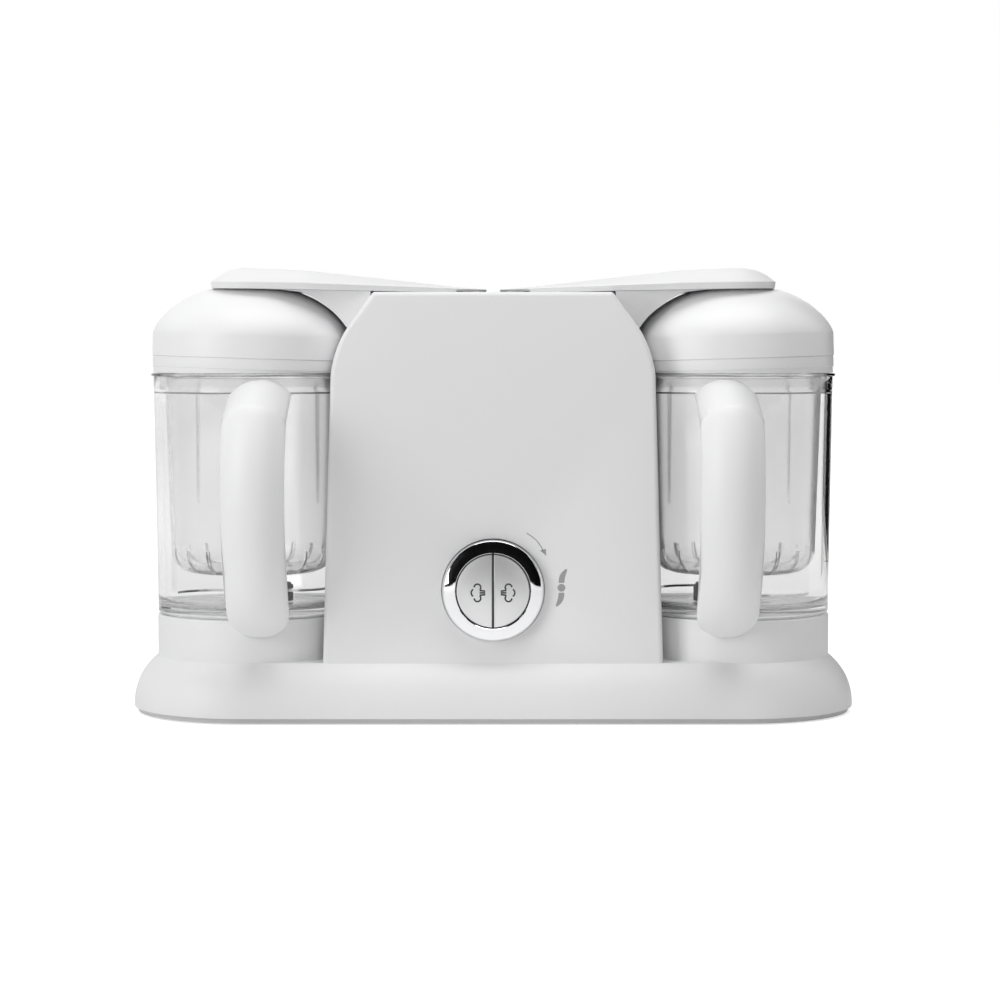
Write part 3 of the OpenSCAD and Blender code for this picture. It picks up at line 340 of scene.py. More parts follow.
def joined(target, source):
    """Adds the mesh of source to target and frees source."""
    held = bpy.data.meshes.new("held")
    source.to_mesh(held)
    source.free()
    target.from_mesh(held)
    bpy.data.meshes.remove(held)


def piece(name, bm, body, materials, nodes=(), crease=32):
    """Ends a piece drawn in millimetres: metres, outward faces, soft shading, finish and body."""
    bmesh.ops.scale(bm, vec=(MM, MM, MM), verts=bm.verts[:])
    bmesh.ops.recalc_face_normals(bm, faces=bm.faces[:])
    limit = radians(crease)
    for face in bm.faces:
        face.smooth = True
    for edge in bm.edges:
        edge.smooth = len(edge.link_faces) == 2 and edge.calc_face_angle(0) < limit
    mesh = bpy.data.meshes.new(name)
    bm.to_mesh(mesh)
    bm.free()
    for material in materials:
        mesh.materials.append(material)
    made = bpy.data.objects.new(name, mesh)
    scene.collection.objects.link(made)
    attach(made, body)
    if nodes:
        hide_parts(*nodes)


def mirrored(bm, side):
    """Makes a shape drawn for the right side into its left twin."""
    if side < 0:
        bmesh.ops.scale(bm, vec=(-1, 1, 1), verts=bm.verts[:])
        bmesh.ops.reverse_faces(bm, faces=bm.faces[:])


def to_bowl(bm, side):
    """Moves a shape drawn about the Z axis, in the right bowl's pose, to its own bowl axis."""
    mirrored(bm, side)
    shift(bm, side * BOWL_X, BOWL_Y, 0)


SEAT_R, SEAT_TOP, SEAT_FLOOR, DECK = 52.0, 54.0, 46.0, 31.5
SEAT_RIM, SEAT_WEB, SHAFT_HOLE = 2.6, 3.0, 11.2
SKIRT_R, SPIGOT_R, SPIGOT_Z = SEAT_R - 5, SEAT_R - 7, DECK - 4
TAB_IN, TAB_OUT, TAB_LOW, TAB_TOP, TAB_REACH = 46.6, SEAT_R - 2.4, SEAT_TOP - 2.8, SEAT_TOP - 0.4, 28
for name, side in SIDES:
    bm = bmesh.new()
    outline(bm, [(SEAT_R, DECK), (SEAT_R, SEAT_TOP), (SEAT_R - SEAT_RIM, SEAT_TOP),
                 (SEAT_R - SEAT_RIM, SEAT_FLOOR), (SHAFT_HOLE, SEAT_FLOOR),
                 (SHAFT_HOLE, SEAT_FLOOR - SEAT_WEB), (SKIRT_R, SEAT_FLOOR - SEAT_WEB),
                 (SKIRT_R, SPIGOT_Z), (SPIGOT_R, SPIGOT_Z), (SPIGOT_R, DECK)],
            [([1], 0.9, 4), ([2], 0.6, 3), ([3], 1.5, 3)])
    turned(bm)
    for start in (16, 136, 256):
        tab = bmesh.new()
        outline(tab, [(TAB_IN, TAB_LOW), (TAB_OUT, TAB_LOW), (TAB_OUT, TAB_TOP), (TAB_IN, TAB_TOP)],
                [([0, 3], 0.5, 2)])
        swept(tab, 8, start, TAB_REACH)
        joined(bm, tab)
    to_bowl(bm, side)
    piece(f"seat_ring_{name}", bm, "root", [white_satin], [f"seat_{name}"])

# ---- front cover of the column
# A flat moulded panel with a softly rounded edge, clipped over the front of the column.
# It has one round hole for the knob.
COVER_Y, COVER_BACK, COVER_ROUND = -60.0, -52.0, 2.6
KNOB_Z, KNOB_HOLE = 70.5, 27.4
FOOT_X, TOP_X, COLUMN_TOP = 90.5, 63.3, 228.4
SHOULDER = (85.56, 197.8)
cover_white = plastic("cover_white", (0.835, 0.835, 0.84), 0.5, relief=0.04, grain=1500)


def arch(bm, inset):
    """The column's front outline: leaning sides, round shoulders and a flat top."""
    half = [(FOOT_X - inset, DECK), (SHOULDER[0] - inset, SHOULDER[1]),
            (TOP_X - 0.7 * inset, COLUMN_TOP - inset)]
    points = half + [(-x, z) for x, z in reversed(half)]
    outline(bm, points, [([1, 4], 14.8, 14), ([2, 3], 1.2, 3)])


def closed_loop(bm, spots):
    """A closed loop of edges through the points."""
    verts = [bm.verts.new(spot) for spot in spots]
    return [bm.edges.new(pair) for pair in zip(verts, verts[1:] + verts[:1])]


def skinned(bm, loops):
    """Faces between each loop of edges and the next one."""
    for low, high in zip(loops, loops[1:]):
        bmesh.ops.bridge_loops(bm, edges=low + high)


bm = bmesh.new()
outer = []
for y, inset in [(COVER_BACK, 0.0)] + [(COVER_Y + COVER_ROUND * (1 - sin(radians(a))),
                                        COVER_ROUND * (1 - cos(radians(a))))
                                       for a in (0, 12, 25, 38, 52, 66, 80, 90)]:
    flat = bmesh.new()
    arch(flat, inset)
    outer.append(closed_loop(bm, [(v.co.x, y, v.co.z) for v in flat.faces[:][0].verts]))
    flat.free()
inner = []
for y, grown in ((COVER_Y, 0.5), (COVER_Y + 0.15, 0.15), (COVER_Y + 0.5, 0), (COVER_BACK, 0)):
    radius = KNOB_HOLE + grown
    around = [radians(3.75 * k) for k in range(96)]
    inner.append(closed_loop(bm, [(radius * cos(a), y, KNOB_Z + radius * sin(a)) for a in around]))
skinned(bm, outer)
skinned(bm, inner)
for edges in (outer[-1] + inner[0], outer[0] + inner[-1]):
    bmesh.ops.triangle_fill(bm, use_beauty=True, use_dissolve=False, edges=edges, normal=(0, -1, 0))
piece("cover_panel", bm, "root", [cover_white], ["column_cover"])

# ---- column body, rear panel and hinge block
# The body carries the whole column; its sides are hollowed to clear the bowls, and a vented
# panel closes the back with four screws.
steel_bright = plastic("steel_bright", (0.62, 0.62, 0.63), 0.28, cloud=0.08, grain=600, relief=0.05,
                       Metallic=1.0)
dress("column_body", white_satin)
dress("rear_panel", white_satin)
dress("hinge_block", pale_grey)
for node in ("panel_screws", "base_screws", "motor_screws", "hinge_pin_left", "hinge_pin_right"):
    dress(node, steel_bright)
dark_nylon = plastic("dark_nylon", (0.035, 0.035, 0.038), 0.55, cloud=0.1, relief=0.15, grain=700)
dress("cord_inlet", dark_nylon)

# ---- bowls
# Clear copolyester, moulded and polished, with a thick floor, a rounded lip, two upright ribs
# inside the wall and three lugs on a frosted foot. The right one has printed fill marks.


def clear_resin(name, colour, roughness, ior=1.45, passed=0.85, haze=0.0):
    """Clear or frosted plastic that lets lamp light through to what it holds."""
    made = bpy.data.materials.new(name)
    made.use_nodes = True
    tree = made.node_tree
    shader = tree.nodes["Principled BSDF"]
    out = tree.nodes["Material Output"]
    place = add(tree, "ShaderNodeTexCoord")
    skin = add(tree, "ShaderNodeGroup", node_tree=MOULDED_SKIN)
    wire(tree, place.outputs["Object"], skin.inputs["Vector"])
    skin.inputs["Colour"].default_value = (*colour, 1)
    skin.inputs["Cloud"].default_value = 0.01
    skin.inputs["Roughness"].default_value = roughness
    skin.inputs["Spread"].default_value = 0.02
    skin.inputs["Grain"].default_value = 60
    bump = add(tree, "ShaderNodeBump")
    bump.inputs["Strength"].default_value = 0.05
    bump.inputs["Distance"].default_value = 0.0002
    wire(tree, skin.outputs["Colour"], shader.inputs["Base Color"])
    wire(tree, skin.outputs["Roughness"], shader.inputs["Roughness"])
    wire(tree, skin.outputs["Height"], bump.inputs["Height"])
    wire(tree, bump.outputs["Normal"], shader.inputs["Normal"])
    shader.inputs["IOR"].default_value = ior
    shader.inputs["Transmission Weight"].default_value = 1 - haze
    open_air = add(tree, "ShaderNodeBsdfTransparent")
    open_air.inputs["Color"].default_value = (passed, passed, passed, 1)
    light = add(tree, "ShaderNodeLightPath")
    mix = add(tree, "ShaderNodeMixShader")
    wire(tree, light.outputs["Is Shadow Ray"], mix.inputs[0])
    wire(tree, shader.outputs[0], mix.inputs[1])
    wire(tree, open_air.outputs[0], mix.inputs[2])
    wire(tree, mix.outputs[0], out.inputs["Surface"])
    return made


clear_bowl = clear_resin("clear_bowl", (0.972, 0.972, 0.972), 0.02)
foot_haze = clear_resin("foot_haze", (0.93, 0.932, 0.935), 0.35, haze=0.45)
FOOT_R, FOOT_LOW, FOOT_WALL = 46.2, 47.6, 3.0
BOWL_R, BOWL_Z, BOWL_TOP_R, LIP_Z, LIP_R, BOWL_TOP = 51.7, 54.3, 53.5, 183.6, 54.9, 185.3
LEDGE_R, LEDGE_Z, INSIDE_R, BOWL_FLOOR = 49.8, 176.5, 49.2, 58.8
SPINDLE_R, SLEEVE_R, SLEEVE_LOW = 8.05, 12.05, 53.7
LUG_IN, LUG_OUT, LUG_H, LUG_REACH = 44.6, 48.8, 3.2, 22
RIB_WIDE, RIB_TOP, RIB_LOW = 1.3, 176.0, 112


def thickened(bm, x, y, z):
    """Draws the flat face in bm out to a solid, along (x, y, z)."""
    grown = bmesh.ops.extrude_face_region(bm, geom=bm.faces[:])["geom"]
    bmesh.ops.translate(bm, vec=(x, y, z), verts=[g for g in grown if isinstance(g, bmesh.types.BMVert)])


for name, side in SIDES:
    bm = bmesh.new()
    outline(bm, [(FOOT_R - FOOT_WALL, FOOT_LOW), (FOOT_R, FOOT_LOW), (FOOT_R, BOWL_Z), (BOWL_R, BOWL_Z),
                 (BOWL_TOP_R, LIP_Z), (LIP_R, LIP_Z), (LIP_R, BOWL_TOP), (LIP_R - 3.9, BOWL_TOP),
                 (LEDGE_R + 1.1, LEDGE_Z), (LEDGE_R, LEDGE_Z), (LEDGE_R, LEDGE_Z - 1.2),
                 (LEDGE_R + 1.0, LEDGE_Z - 2.1), (INSIDE_R, BOWL_FLOOR), (SPINDLE_R, BOWL_FLOOR),
                 (SPINDLE_R, SLEEVE_LOW), (SLEEVE_R, SLEEVE_LOW), (SLEEVE_R, BOWL_Z),
                 (FOOT_R - FOOT_WALL, BOWL_Z)],
            [([3], 2.2, 5), ([5, 6], 0.75, 4), ([7], 0.8, 3), ([12], 6, 6), ([13], 0.6, 2)])
    turned(bm, 128)
    for start in (19, 139, 259):
        lug = bmesh.new()
        outline(lug, [(LUG_IN, FOOT_LOW), (LUG_OUT, FOOT_LOW), (LUG_OUT, FOOT_LOW + LUG_H),
                      (LUG_IN, FOOT_LOW + LUG_H)], [([1, 2], 0.6, 2)])
        swept(lug, 6, start, LUG_REACH)
        joined(bm, lug)
    for angle in (45, 135):
        rib = bmesh.new()
        outline(rib, [(51.2, RIB_TOP), (48.9, RIB_TOP), (49.2, 150), (49.8, 118), (50.3, RIB_LOW),
                      (51.0, RIB_LOW)])
        thickened(rib, 0, RIB_WIDE, 0)
        shift(rib, 0, -RIB_WIDE / 2, 0)
        rotated(rib, angle, "Z")
        joined(bm, rib)
    for face in bm.faces:
        face.material_index = 1 if face.calc_center_median().z < BOWL_FLOOR - 0.8 else 0
    to_bowl(bm, side)
    piece(f"bowl_clear_{name}", bm, f"bowl_{name}", [clear_bowl, foot_haze], [f"bowl_{name}"])

INK_DEEP, INK_SUNK = 0.05, 0.02
ink = plastic("dark_ink", (0.035, 0.035, 0.038), 0.5)
bm = bmesh.new()
for z, reach in ((83, 4), (96, 2), (109.3, 4), (123.5, 2), (137.7, 4), (150, 2), (162.3, 4)):
    r = BOWL_R + (BOWL_TOP_R - BOWL_R) * (z - BOWL_Z) / (LIP_Z - BOWL_Z)
    mark = bmesh.new()
    outline(mark, [(r - INK_SUNK, z - 0.3), (r + INK_DEEP, z - 0.3), (r + INK_DEEP, z + 0.3),
                   (r - INK_SUNK, z + 0.3)])
    swept(mark, 6, -19, reach)
    joined(bm, mark)
to_bowl(bm, 1)
piece("fill_marks", bm, "bowl_right", [ink])

# ---- steam baskets
# Clear copolyester cups that hang on their flange inside the bowls, with a ring of steam slots
# round the foot and two rings of holes in the floor.
clear_basket = clear_resin("clear_basket", (0.985, 0.985, 0.985), 0.08, ior=1.38, passed=0.88, haze=0.08)
for name, side in SIDES:
    dress(f"basket_{name}", clear_basket)

# ---- handles
# A white bow moulded on its own and welded under the bowl's lip; its tail ends free in front
# of the seat. The grip is crowned, and its end faces are well rounded.
handle_white = plastic("handle_white", (0.87, 0.87, 0.875), 0.4, relief=0.03)
GRIP_HALF, GRIP_CROWN, GRIP_CORNER, HANDLE_SHIFT = 16.5, 7.8, 9.0, 8.7
HANDLE_TOP, HANDLE_SLOPE, HANDLE_ROOT, HANDLE_END = 181.9, 18.9, 44.0, 53.0
BOW, BOW_IN = (18.0, 124.5, 85.0), (15.0, 120.0, 75.0)
KNEE, KNEE_IN, ROOT_THICK, BRANCH_TAPER = (90.0, 169.1), (80.9, 157.0), 13.4, 4.2 / 34
CREASE, CREASE_IN, TAIL_DROP = 31.1, 29.0, 1.7


def bow_at(bow, angle):
    """The point of a bow, given as (centre distance, centre height, radius), at an angle."""
    distance, height, radius = bow
    return distance + radius * cos(radians(angle)), height + radius * sin(radians(angle))


def handle_outlines():
    """Matching points on the bow's outer and inner side, from the root under the lip to the tail."""
    slope = tan(radians(HANDLE_SLOPE))
    outer, inner = [], []
    for d in (HANDLE_ROOT, 50, 56, 63, 71, 79, 88.9):
        z = HANDLE_TOP - (d - BOWL_TOP_R) * slope
        outer.append((d, z))
        inner.append((d - BRANCH_TAPER * (d - HANDLE_ROOT), z - ROOT_THICK))
    outer.append(KNEE)
    inner.append(KNEE_IN)
    low = -degrees(acos((HANDLE_END - BOW[0]) / BOW[2]))
    low_in = -degrees(acos((HANDLE_END - BOW_IN[0]) / BOW_IN[2]))
    for i in range(35):
        t = i / 34
        drop = TAIL_DROP * max(0, (t - 0.75) / 0.25) ** 1.5
        far = bow_at(BOW, CREASE + (low - CREASE) * t)
        near = bow_at(BOW_IN, CREASE_IN + (low_in - CREASE_IN) * t)
        outer.append((far[0], far[1] - drop))
        inner.append((near[0], near[1] - drop))
    return outer, inner


def grip_half(height):
    """Half the grip's width at a height above its end, which is rounded across."""
    if height >= GRIP_CORNER:
        return GRIP_HALF
    return GRIP_HALF - (GRIP_CORNER - sqrt(max(GRIP_CORNER ** 2 - (GRIP_CORNER - height) ** 2, 1))) * 0.9


def grip_section(half, depth, crown):
    """The grip across and outward, as (x, lift): a crowned outer side and rounded edges."""
    edge = min(2.6, depth * 0.3)
    points = []
    for k in range(21):
        a = radians(180 - 9 * k)
        x = half * (abs(cos(a)) ** 0.8) * (1 if cos(a) > 0 else -1)
        points.append((x, depth - crown * (x / half) ** 2 - edge * (1 - abs(sin(a)) ** 0.62)))
    points += [(half, edge), (half - edge * 0.3, edge * 0.3), (half - edge, 0)]
    points += [(edge - half, 0), (edge * 0.3 - half, edge * 0.3), (-half, edge)]
    return points


for name, side in SIDES:
    bm = bmesh.new()
    outer, inner = handle_outlines()
    rings = []
    for k, (far, near) in enumerate(zip(outer, inner)):
        depth = hypot(far[0] - near[0], far[1] - near[1])
        out = ((far[0] - near[0]) / depth, (far[1] - near[1]) / depth)
        crown = GRIP_CROWN * min(1, 0.12 + (len(outer) - 1 - k) / 13)
        ring = []
        for x, lift in grip_section(grip_half(far[1] - outer[-1][1]), depth, crown):
            d, z = near[0] + out[0] * lift, near[1] + out[1] * lift
            if k < 3:
                aside = abs(x) + HANDLE_SHIFT if x < 0 else 0
                wall = sqrt(BOWL_TOP_R ** 2 - aside ** 2) - 0.4
                moved = wall + (outer[3][0] - wall) * k / 3
                d, z = moved, z - (moved - d) * tan(radians(HANDLE_SLOPE))
            ring.append((d, x, z))
        rings.append(closed_loop(bm, ring))
    skinned(bm, rings)
    bmesh.ops.holes_fill(bm, edges=rings[0] + rings[-1], sides=0)
    rotated(bm, -90, "Z")
    shift(bm, -HANDLE_SHIFT, 0, 0)
    to_bowl(bm, side)
    piece(f"handle_bow_{name}", bm, f"bowl_{name}", [handle_white], [f"handle_{name}"],
          crease=34)

# ---- lids
# Glossy white domes with a narrow skirt band; a liner and a silicone seal sit inside.
# Each is carried by its lever and rests a little tilted on its bowl.
lid_white = plastic("lid_white", (0.86, 0.86, 0.865), 0.36, relief=0.01)
LID_R, LID_Z, LID_BAND, LID_WALL, LID_H, LID_T, LID_STEP = 54.2, 187.4, 5.7, 12.3, 43.3, 2.4, 0.3
CROWN_R, DOME_POWER, LID_TILT = LID_R * 0.38, 1.32, 1.7
LEVER_FLAT, LEVER_UNDER, LEVER_SLOPE = 20.0, 228.7, 1.0


def dome(r, crown_r, z0, z1):
    """Soft superellipse from the top of the wall to the flat crown, as (x, z)."""
    turns = [radians(5 * i) for i in range(19)]
    return [(crown_r + (r - crown_r) * abs(cos(t)) ** DOME_POWER, z0 + (z1 - z0) * sin(t) ** DOME_POWER)
            for t in turns]


for name, side in SIDES:
    bm = bmesh.new()
    band_r, inner_r = LID_R - LID_STEP, LID_R - LID_STEP - LID_T
    points = [(band_r, 0), (band_r, LID_BAND), (LID_R - 0.6, LID_BAND + 0.15), (LID_R, LID_BAND + 0.5)]
    points += dome(LID_R, CROWN_R, LID_BAND + LID_WALL, LID_H) + [(0, LID_H), (0, LID_H - LID_T)]
    points += dome(inner_r, CROWN_R - 1, LID_BAND + LID_WALL - 1, LID_H - LID_T)[::-1] + [(inner_r, 0)]
    outline(bm, points, [([0], 0.5, 3)])
    turned(bm, 128)
    rotated(bm, -LID_TILT, "Y")
    shift(bm, 0, 0, LID_Z)
    rise = radians(LEVER_SLOPE)
    cut = bmesh.ops.bisect_plane(bm, geom=bm.verts[:] + bm.edges[:] + bm.faces[:], dist=1e-5,
                                 clear_outer=True, plane_co=(LEVER_FLAT - BOWL_X, 0, LEVER_UNDER - 0.15),
                                 plane_no=(-sin(rise), 0, cos(rise)))
    rim = [g for g in cut["geom_cut"] if isinstance(g, bmesh.types.BMEdge)]
    bmesh.ops.holes_fill(bm, edges=rim, sides=0)
    to_bowl(bm, side)
    piece(f"lid_dome_{name}", bm, f"lever_{name}", [lid_white], [f"lid_{name}"], crease=20)

silicone = plastic("silicone", (0.88, 0.88, 0.885), 0.45, cloud=0.03)
for name, side in SIDES:
    dress(f"lid_liner_{name}", pale_grey)
    dress(f"lid_seal_{name}", silicone)
    dress(f"tank_plug_{name}", black_rubber)

# ---- steam arms
# A white web under each lever that fills the corner between the column's slope and the lid,
# and carries the steam across; moulded with the lever's lower half.
ARM_FRONT, ARM_BACK, ARM_OUT, ARM_IN, ARM_FOOT = -34.0, 18.0, 114.3, (65.9, COLUMN_TOP - 1.6), (78.1, 209.9)
LID_CLEAR, LID_LIFT = 0.9, 0.3


def lid_side():
    """The tilted dome's side that faces the column, with a small clearance, as (x, z)."""
    tilt = radians(LID_TILT)
    spots = [(-(r + LID_CLEAR), z) for r, z in dome(LID_R, CROWN_R, LID_BAND + LID_WALL, LID_H)]
    return [(BOWL_X + x * cos(tilt) - z * sin(tilt), LID_Z + x * sin(tilt) + z * cos(tilt) + LID_LIFT)
            for x, z in spots]


for name, side in SIDES:
    bm = bmesh.new()
    rise = tan(radians(LEVER_SLOPE))
    top = [(x, LEVER_UNDER - 0.1 + (x - LEVER_FLAT) * rise) for x in (ARM_OUT, ARM_IN[0] + 0.1)]
    outline(bm, [ARM_IN, ARM_FOOT] + [(x, z) for x, z in lid_side()
                                      if ARM_FOOT[1] + 0.3 < z < top[0][1] - 1 and x < ARM_OUT - 0.5] + top)
    bmesh.ops.triangulate(bm, faces=bm.faces[:])
    thickened(bm, 0, ARM_BACK - ARM_FRONT, 0)
    shift(bm, 0, ARM_FRONT, 0)
    mirrored(bm, side)
    piece(f"arm_web_{name}", bm, f"lever_{name}", [white_satin], [f"arm_{name}"])

# ---- levers
# Long white paddles hinged at the middle of the column; each broadens over its lid, with a
# crowned top and a shallow thumb hollow near the end.
LEVER_TIP, LEVER_EDGE, TIP_R, TIP_ROUND = 3.7, 3.8, 13, 1.2
WAIST_X, WAIST_R = 103.5, 35
END_X, END_Y, END_R = 127.5, 9, 26
HOLLOW_X, HOLLOW_LONG, HOLLOW_WIDE, HOLLOW_DEEP = 124.5, 14.5, 17, 1.5
HINGE_X, HINGE_Z, EAR_HALF, EAR_TOP, EAR_WIDE = 12.0, 224.0, 4.3, 230.2, 7
ROOF = ((3, 2.2), (34, 4.2), (60, 7.2), (88, 9.6), (111.5, 10.9), (135.5, 11.4), (143.5, 9.8), (151.5, 6.6),
        (154, 5.2))


def lever_ring(inset):
    """Points round the lever, moved in by inset: along each normal the outermost arc is taken."""
    tip = max(TIP_R - inset, 0.6)
    tip_y, tip_r = (tip - TIP_ROUND, TIP_ROUND) if tip > TIP_ROUND + 0.2 else (0.2, 0.2)
    arcs = [(LEVER_TIP + TIP_ROUND + 0.5 * inset, tip_y, tip_r),
            (WAIST_X, 0, max(WAIST_R - inset, 1)),
            (END_X, END_Y * max(1 - inset / WAIST_R, 0.05), max(END_R - inset * 0.74, 1))]
    points = []
    for k in range(-44, 45):
        a = radians(k * 180 / 44.5)
        n = (cos(a), sin(a))
        _, cx, cy, r = max((cx * n[0] + abs(cy * n[1]) + r, cx, cy, r) for cx, cy, r in arcs)
        points.append((cx + r * n[0], (cy if n[1] > 0 else -cy) + r * n[1]))
    return points


def roof(x):
    """Height of the lever's ridge line at x."""
    for (x0, z0), (x1, z1) in zip(ROOF, ROOF[1:]):
        if x <= x1:
            return z0 + (z1 - z0) * max(0, (x - x0) / (x1 - x0))
    return ROOF[-1][1]


def soft_min(a, b, k):
    """The lesser of two heights, blended over a width of k."""
    h = max(0, min(1, 0.5 + 0.5 * (b - a) / k))
    return b + (a - b) * h - k * h * (1 - h)


def lever_height(x, y, z):
    """Height of the lever's top: under its roof line, with the thumb hollow pressed in."""
    top = soft_min(z, roof(x), 0.9) if z > LEVER_EDGE else min(z, roof(x) - 0.25)
    far = hypot((x - HOLLOW_X) / HOLLOW_LONG, y / HOLLOW_WIDE)
    if z > LEVER_EDGE + 4 and far < 1:
        top -= HOLLOW_DEEP * (1 - far * far) ** 1.5
    return top


for name, side in SIDES:
    bm = bmesh.new()
    levels = [(1.2, 0.0), (0.8, 0.2), (0.1, LEVER_EDGE - 0.9), (0.0, LEVER_EDGE - 0.5),
              (0.15, LEVER_EDGE - 0.1), (0.6, LEVER_EDGE + 0.15)]
    levels += [(inset, LEVER_EDGE + 0.15 + (inset - 0.6) * 0.61) for inset in range(3, 34, 3)]
    loops = [closed_loop(bm, [(x, y, lever_height(x, y, z)) for x, y in lever_ring(inset)])
             for inset, z in levels]
    skinned(bm, loops)
    bmesh.ops.holes_fill(bm, edges=loops[0] + loops[-1], sides=0)
    for x in (LEVER_FLAT - 0.15, LEVER_FLAT + 0.15):
        bmesh.ops.bisect_plane(bm, geom=bm.verts[:] + bm.edges[:] + bm.faces[:], dist=1e-4,
                               plane_co=(x, 0, 0), plane_no=(1, 0, 0))
    for vert in bm.verts:
        if vert.co.x < LEVER_FLAT and vert.co.z < 1.0:
            vert.co.z += 1.0
    shift(bm, -LEVER_FLAT, 0, 0)
    rotated(bm, -LEVER_SLOPE, "Y")
    shift(bm, LEVER_FLAT, 0, LEVER_UNDER)
    for y in (-13, 6):
        ear = bmesh.new()
        near, far, low = HINGE_X - EAR_HALF, HINGE_X + EAR_HALF, HINGE_Z - EAR_HALF
        outline(ear, [(near, low), (far, low), (far, EAR_TOP), (near, EAR_TOP)],
                [([0, 1], EAR_HALF - 0.1, 8)])
        thickened(ear, 0, EAR_WIDE, 0)
        shift(ear, 0, y, 0)
        joined(bm, ear)
    shift(bm, -BOWL_X, 0, 0)
    to_bowl(bm, side)
    piece(f"lever_paddle_{name}", bm, f"lever_{name}", [white_satin], [f"lever_{name}"],
          crease=30)

# ---- knob ring and buttons
# A die-cast zinc ring, polished and chrome plated, round two half-disc keys with a satin
# silver finish.
chrome = plastic("chrome", (0.82, 0.82, 0.83), 0.05, cloud=0.01, spread=0.02, relief=0.0, Metallic=1.0)
silver = plastic("satin_silver", (0.8, 0.8, 0.805), 0.46, cloud=0.03, relief=0.05, grain=2500, Metallic=0.75)


def to_front(bm):
    """Turns a shape drawn about the Z axis so that its top faces the user, at the knob."""
    rotated(bm, 90, "X")
    shift(bm, 0, 0, KNOB_Z)


RING_IN, RING_NECK, RING_OUT = 20.0, 24.8, 27
RING_BACK, RING_STEP, RING_SIDE, RING_FACE = 52.4, 57.2, 63.9, 66.7
bm = bmesh.new()
face_arc = [(RING_IN + 0.3 + 12.6 * (sin(radians(a)) - sin(radians(6))),
             RING_FACE - 11.5 * (cos(radians(6)) - cos(radians(a)))) for a in range(34, 5, -4)]
outline(bm, [(RING_IN, RING_BACK), (RING_NECK, RING_BACK), (RING_NECK, RING_STEP), (RING_OUT, RING_STEP),
             (RING_OUT, RING_SIDE)] + face_arc + [(RING_IN, RING_FACE - 0.3)], [([4], 0.9, 5)])
turned(bm, 128)
to_front(bm)
piece("knob_bezel", bm, "knob", [chrome], ["knob_ring"])
dress("knob_carrier", dark_nylon)
dress("knob_spring", steel_bright)

BUTTON_R, BUTTON_GAP, BUTTON_BACK, BUTTON_FACE, BUTTON_ROUND = 19.3, 0.9, 57.4, 66.5, 0.55
STEM_X, STEM_Y, STEM_R, STEM_LONG = 9, 55.15, 2.5, 6.7
for name, side in SIDES:
    bm = bmesh.new()
    bmesh.ops.create_circle(bm, cap_ends=True, radius=BUTTON_R, segments=128)
    geom = bm.verts[:] + bm.edges[:] + bm.faces[:]
    bmesh.ops.bisect_plane(bm, geom=geom, dist=1e-5, plane_co=(BUTTON_GAP / 2, 0, 0), plane_no=(-1, 0, 0),
                           clear_outer=True)
    shift(bm, 0, 0, BUTTON_BACK)
    thickened(bm, 0, 0, BUTTON_FACE - BUTTON_BACK)
    bmesh.ops.recalc_face_normals(bm, faces=bm.faces[:])
    lip = [e for e in bm.edges if all(v.co.z > BUTTON_FACE - 0.01 for v in e.verts)]
    bmesh.ops.bevel(bm, geom=lip, offset=BUTTON_ROUND, segments=3, affect="EDGES", profile=0.5, material=-1)
    stem = bmesh.new()
    bmesh.ops.create_cone(stem, cap_ends=True, segments=32, radius1=STEM_R, radius2=STEM_R, depth=STEM_LONG)
    shift(stem, STEM_X, 0, STEM_Y)
    joined(bm, stem)
    to_front(bm)
    mirrored(bm, side)
    piece(f"key_{name}", bm, f"button_{name}", [silver], [f"button_{name}"])

# ---- printed signs
# Thin pad-printed signs: a steam cloud on each key, and a turning arrow and a blade on the cover.


def stroke(bm, path, width):
    """A thin flat line of ink along the (x, z) points."""
    left, right = [], []
    for i, (x, z) in enumerate(path):
        a, b = path[max(i - 1, 0)], path[min(i + 1, len(path) - 1)]
        long = hypot(b[0] - a[0], b[1] - a[1])
        nx, nz = -(b[1] - a[1]) / long * width / 2, (b[0] - a[0]) / long * width / 2
        left.append((x + nx, z + nz))
        right.append((x - nx, z - nz))
    filled(bm, left + right[::-1])


def filled(bm, points):
    """A thin flat patch of ink inside the (x, z) points."""
    patch = bmesh.new()
    outline(patch, points)
    bmesh.ops.triangulate(patch, faces=patch.faces[:])
    thickened(patch, 0, -INK_DEEP, 0)
    joined(bm, patch)


def lobe(x, z, r, start, end):
    """Points along an arc about (x, z), from one angle to another in degrees."""
    turns = [radians(start + (end - start) * k / 12) for k in range(13)]
    return [(x + r * cos(a), z + r * sin(a)) for a in turns]


SIGN_LINE = 0.85
for name, side in SIDES:
    bm = bmesh.new()
    for path in (lobe(8.2, 2.9, 1.75, 222, 0), lobe(9.3, 0, 2.2, 58, -58), lobe(8.2, -2.9, 1.75, 0, -222),
                 [(7.1, 1.3), (4.1, 0.9)], [(7.1, 0), (4.1, 0)], [(7.1, -1.3), (4.1, -0.9)]):
        stroke(bm, path, SIGN_LINE)
    shift(bm, 0, 0.01 - BUTTON_FACE, KNOB_Z - 0.8)
    mirrored(bm, side)
    piece(f"key_sign_{name}", bm, f"button_{name}", [ink])

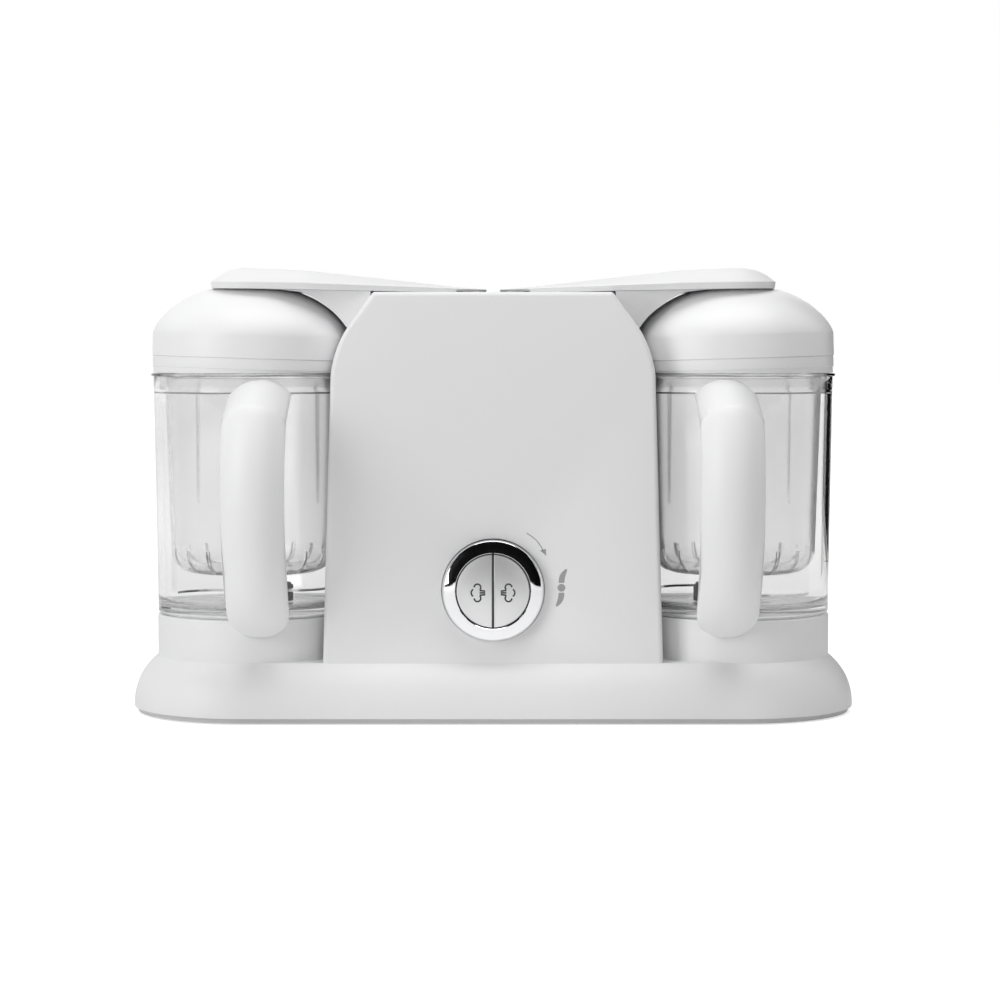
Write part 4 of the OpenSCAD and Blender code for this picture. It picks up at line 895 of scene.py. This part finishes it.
BLADE_SIGN_X, BLADE_SIGN_Z = 36.3, 71.8
grey_ink = plastic("grey_ink", (0.36, 0.36, 0.365), 0.5)
bm = bmesh.new()
stroke(bm, [(17.8, 100.9), (20.7, 99.0), (23.3, 96.7), (25.3, 94.0), (26.6, 91.3)], 0.55)
filled(bm, [(24.9, 91.6), (28.2, 88.8), (28.0, 92.6)])
blade = [(-1.5, 2.6), (-1.45, 4.6), (-0.9, 6.6), (0.3, 8.4), (1.9, 9.8), (2.9, 10.0), (3.0, 9.2),
         (2.3, 7.2), (1.75, 5.0), (1.5, 2.6)]
for turn in (1, -1):
    filled(bm, [(BLADE_SIGN_X + turn * x, BLADE_SIGN_Z + turn * z) for x, z in blade])
filled(bm, lobe(BLADE_SIGN_X, BLADE_SIGN_Z, 2.1, 0, 330))
shift(bm, 0, COVER_Y + 0.01, 0)
piece("cover_signs", bm, "root", [grey_ink])

# ---- inside: motors, blades, boilers and electronics
# Small can motors, stainless boilers on their heaters, and the control board behind the keys
# with its switches. Each blade's hub sits on a coupling on the motor's shaft.
motor_steel = plastic("motor_steel", (0.45, 0.45, 0.46), 0.38, cloud=0.1, grain=500, relief=0.05,
                      Metallic=1.0)
blade_steel = plastic("blade_steel", (0.55, 0.55, 0.56), 0.18, cloud=0.05, grain=900, relief=0.03,
                      Metallic=1.0)
winding = plastic("copper_winding", (0.55, 0.23, 0.10), 0.4, cloud=0.2, grain=400, relief=0.2, Metallic=0.8)
bronze = plastic("sintered_bronze", (0.45, 0.30, 0.14), 0.45, cloud=0.1, grain=1500, relief=0.2, Metallic=1.0)
board_green = plastic("board_green", (0.03, 0.16, 0.08), 0.35, cloud=0.1, grain=400)
heat_grey = plastic("cast_heater", (0.35, 0.35, 0.36), 0.5, cloud=0.12, grain=300, relief=0.2, Metallic=0.9)
tube_milk = plastic("tube_silicone", (0.60, 0.58, 0.54), 0.45, cloud=0.04)
for name, side in SIDES:
    dress(f"blade_{name}", blade_steel)
    dress(f"hub_{name}", dark_nylon)
    dress(f"coupling_{name}", dark_nylon)
    dress(f"rotor_{name}", winding)
    dress(f"motor_{name}", motor_steel)
    dress(f"boiler_{name}", steel_bright)
    dress(f"heater_{name}", heat_grey)
    dress(f"filler_neck_{name}", pale_grey)
    dress(f"steam_tube_{name}", tube_milk)
dress("shaft_bushes", bronze)
dress("control_board", board_green)
dress("switches", dark_nylon)
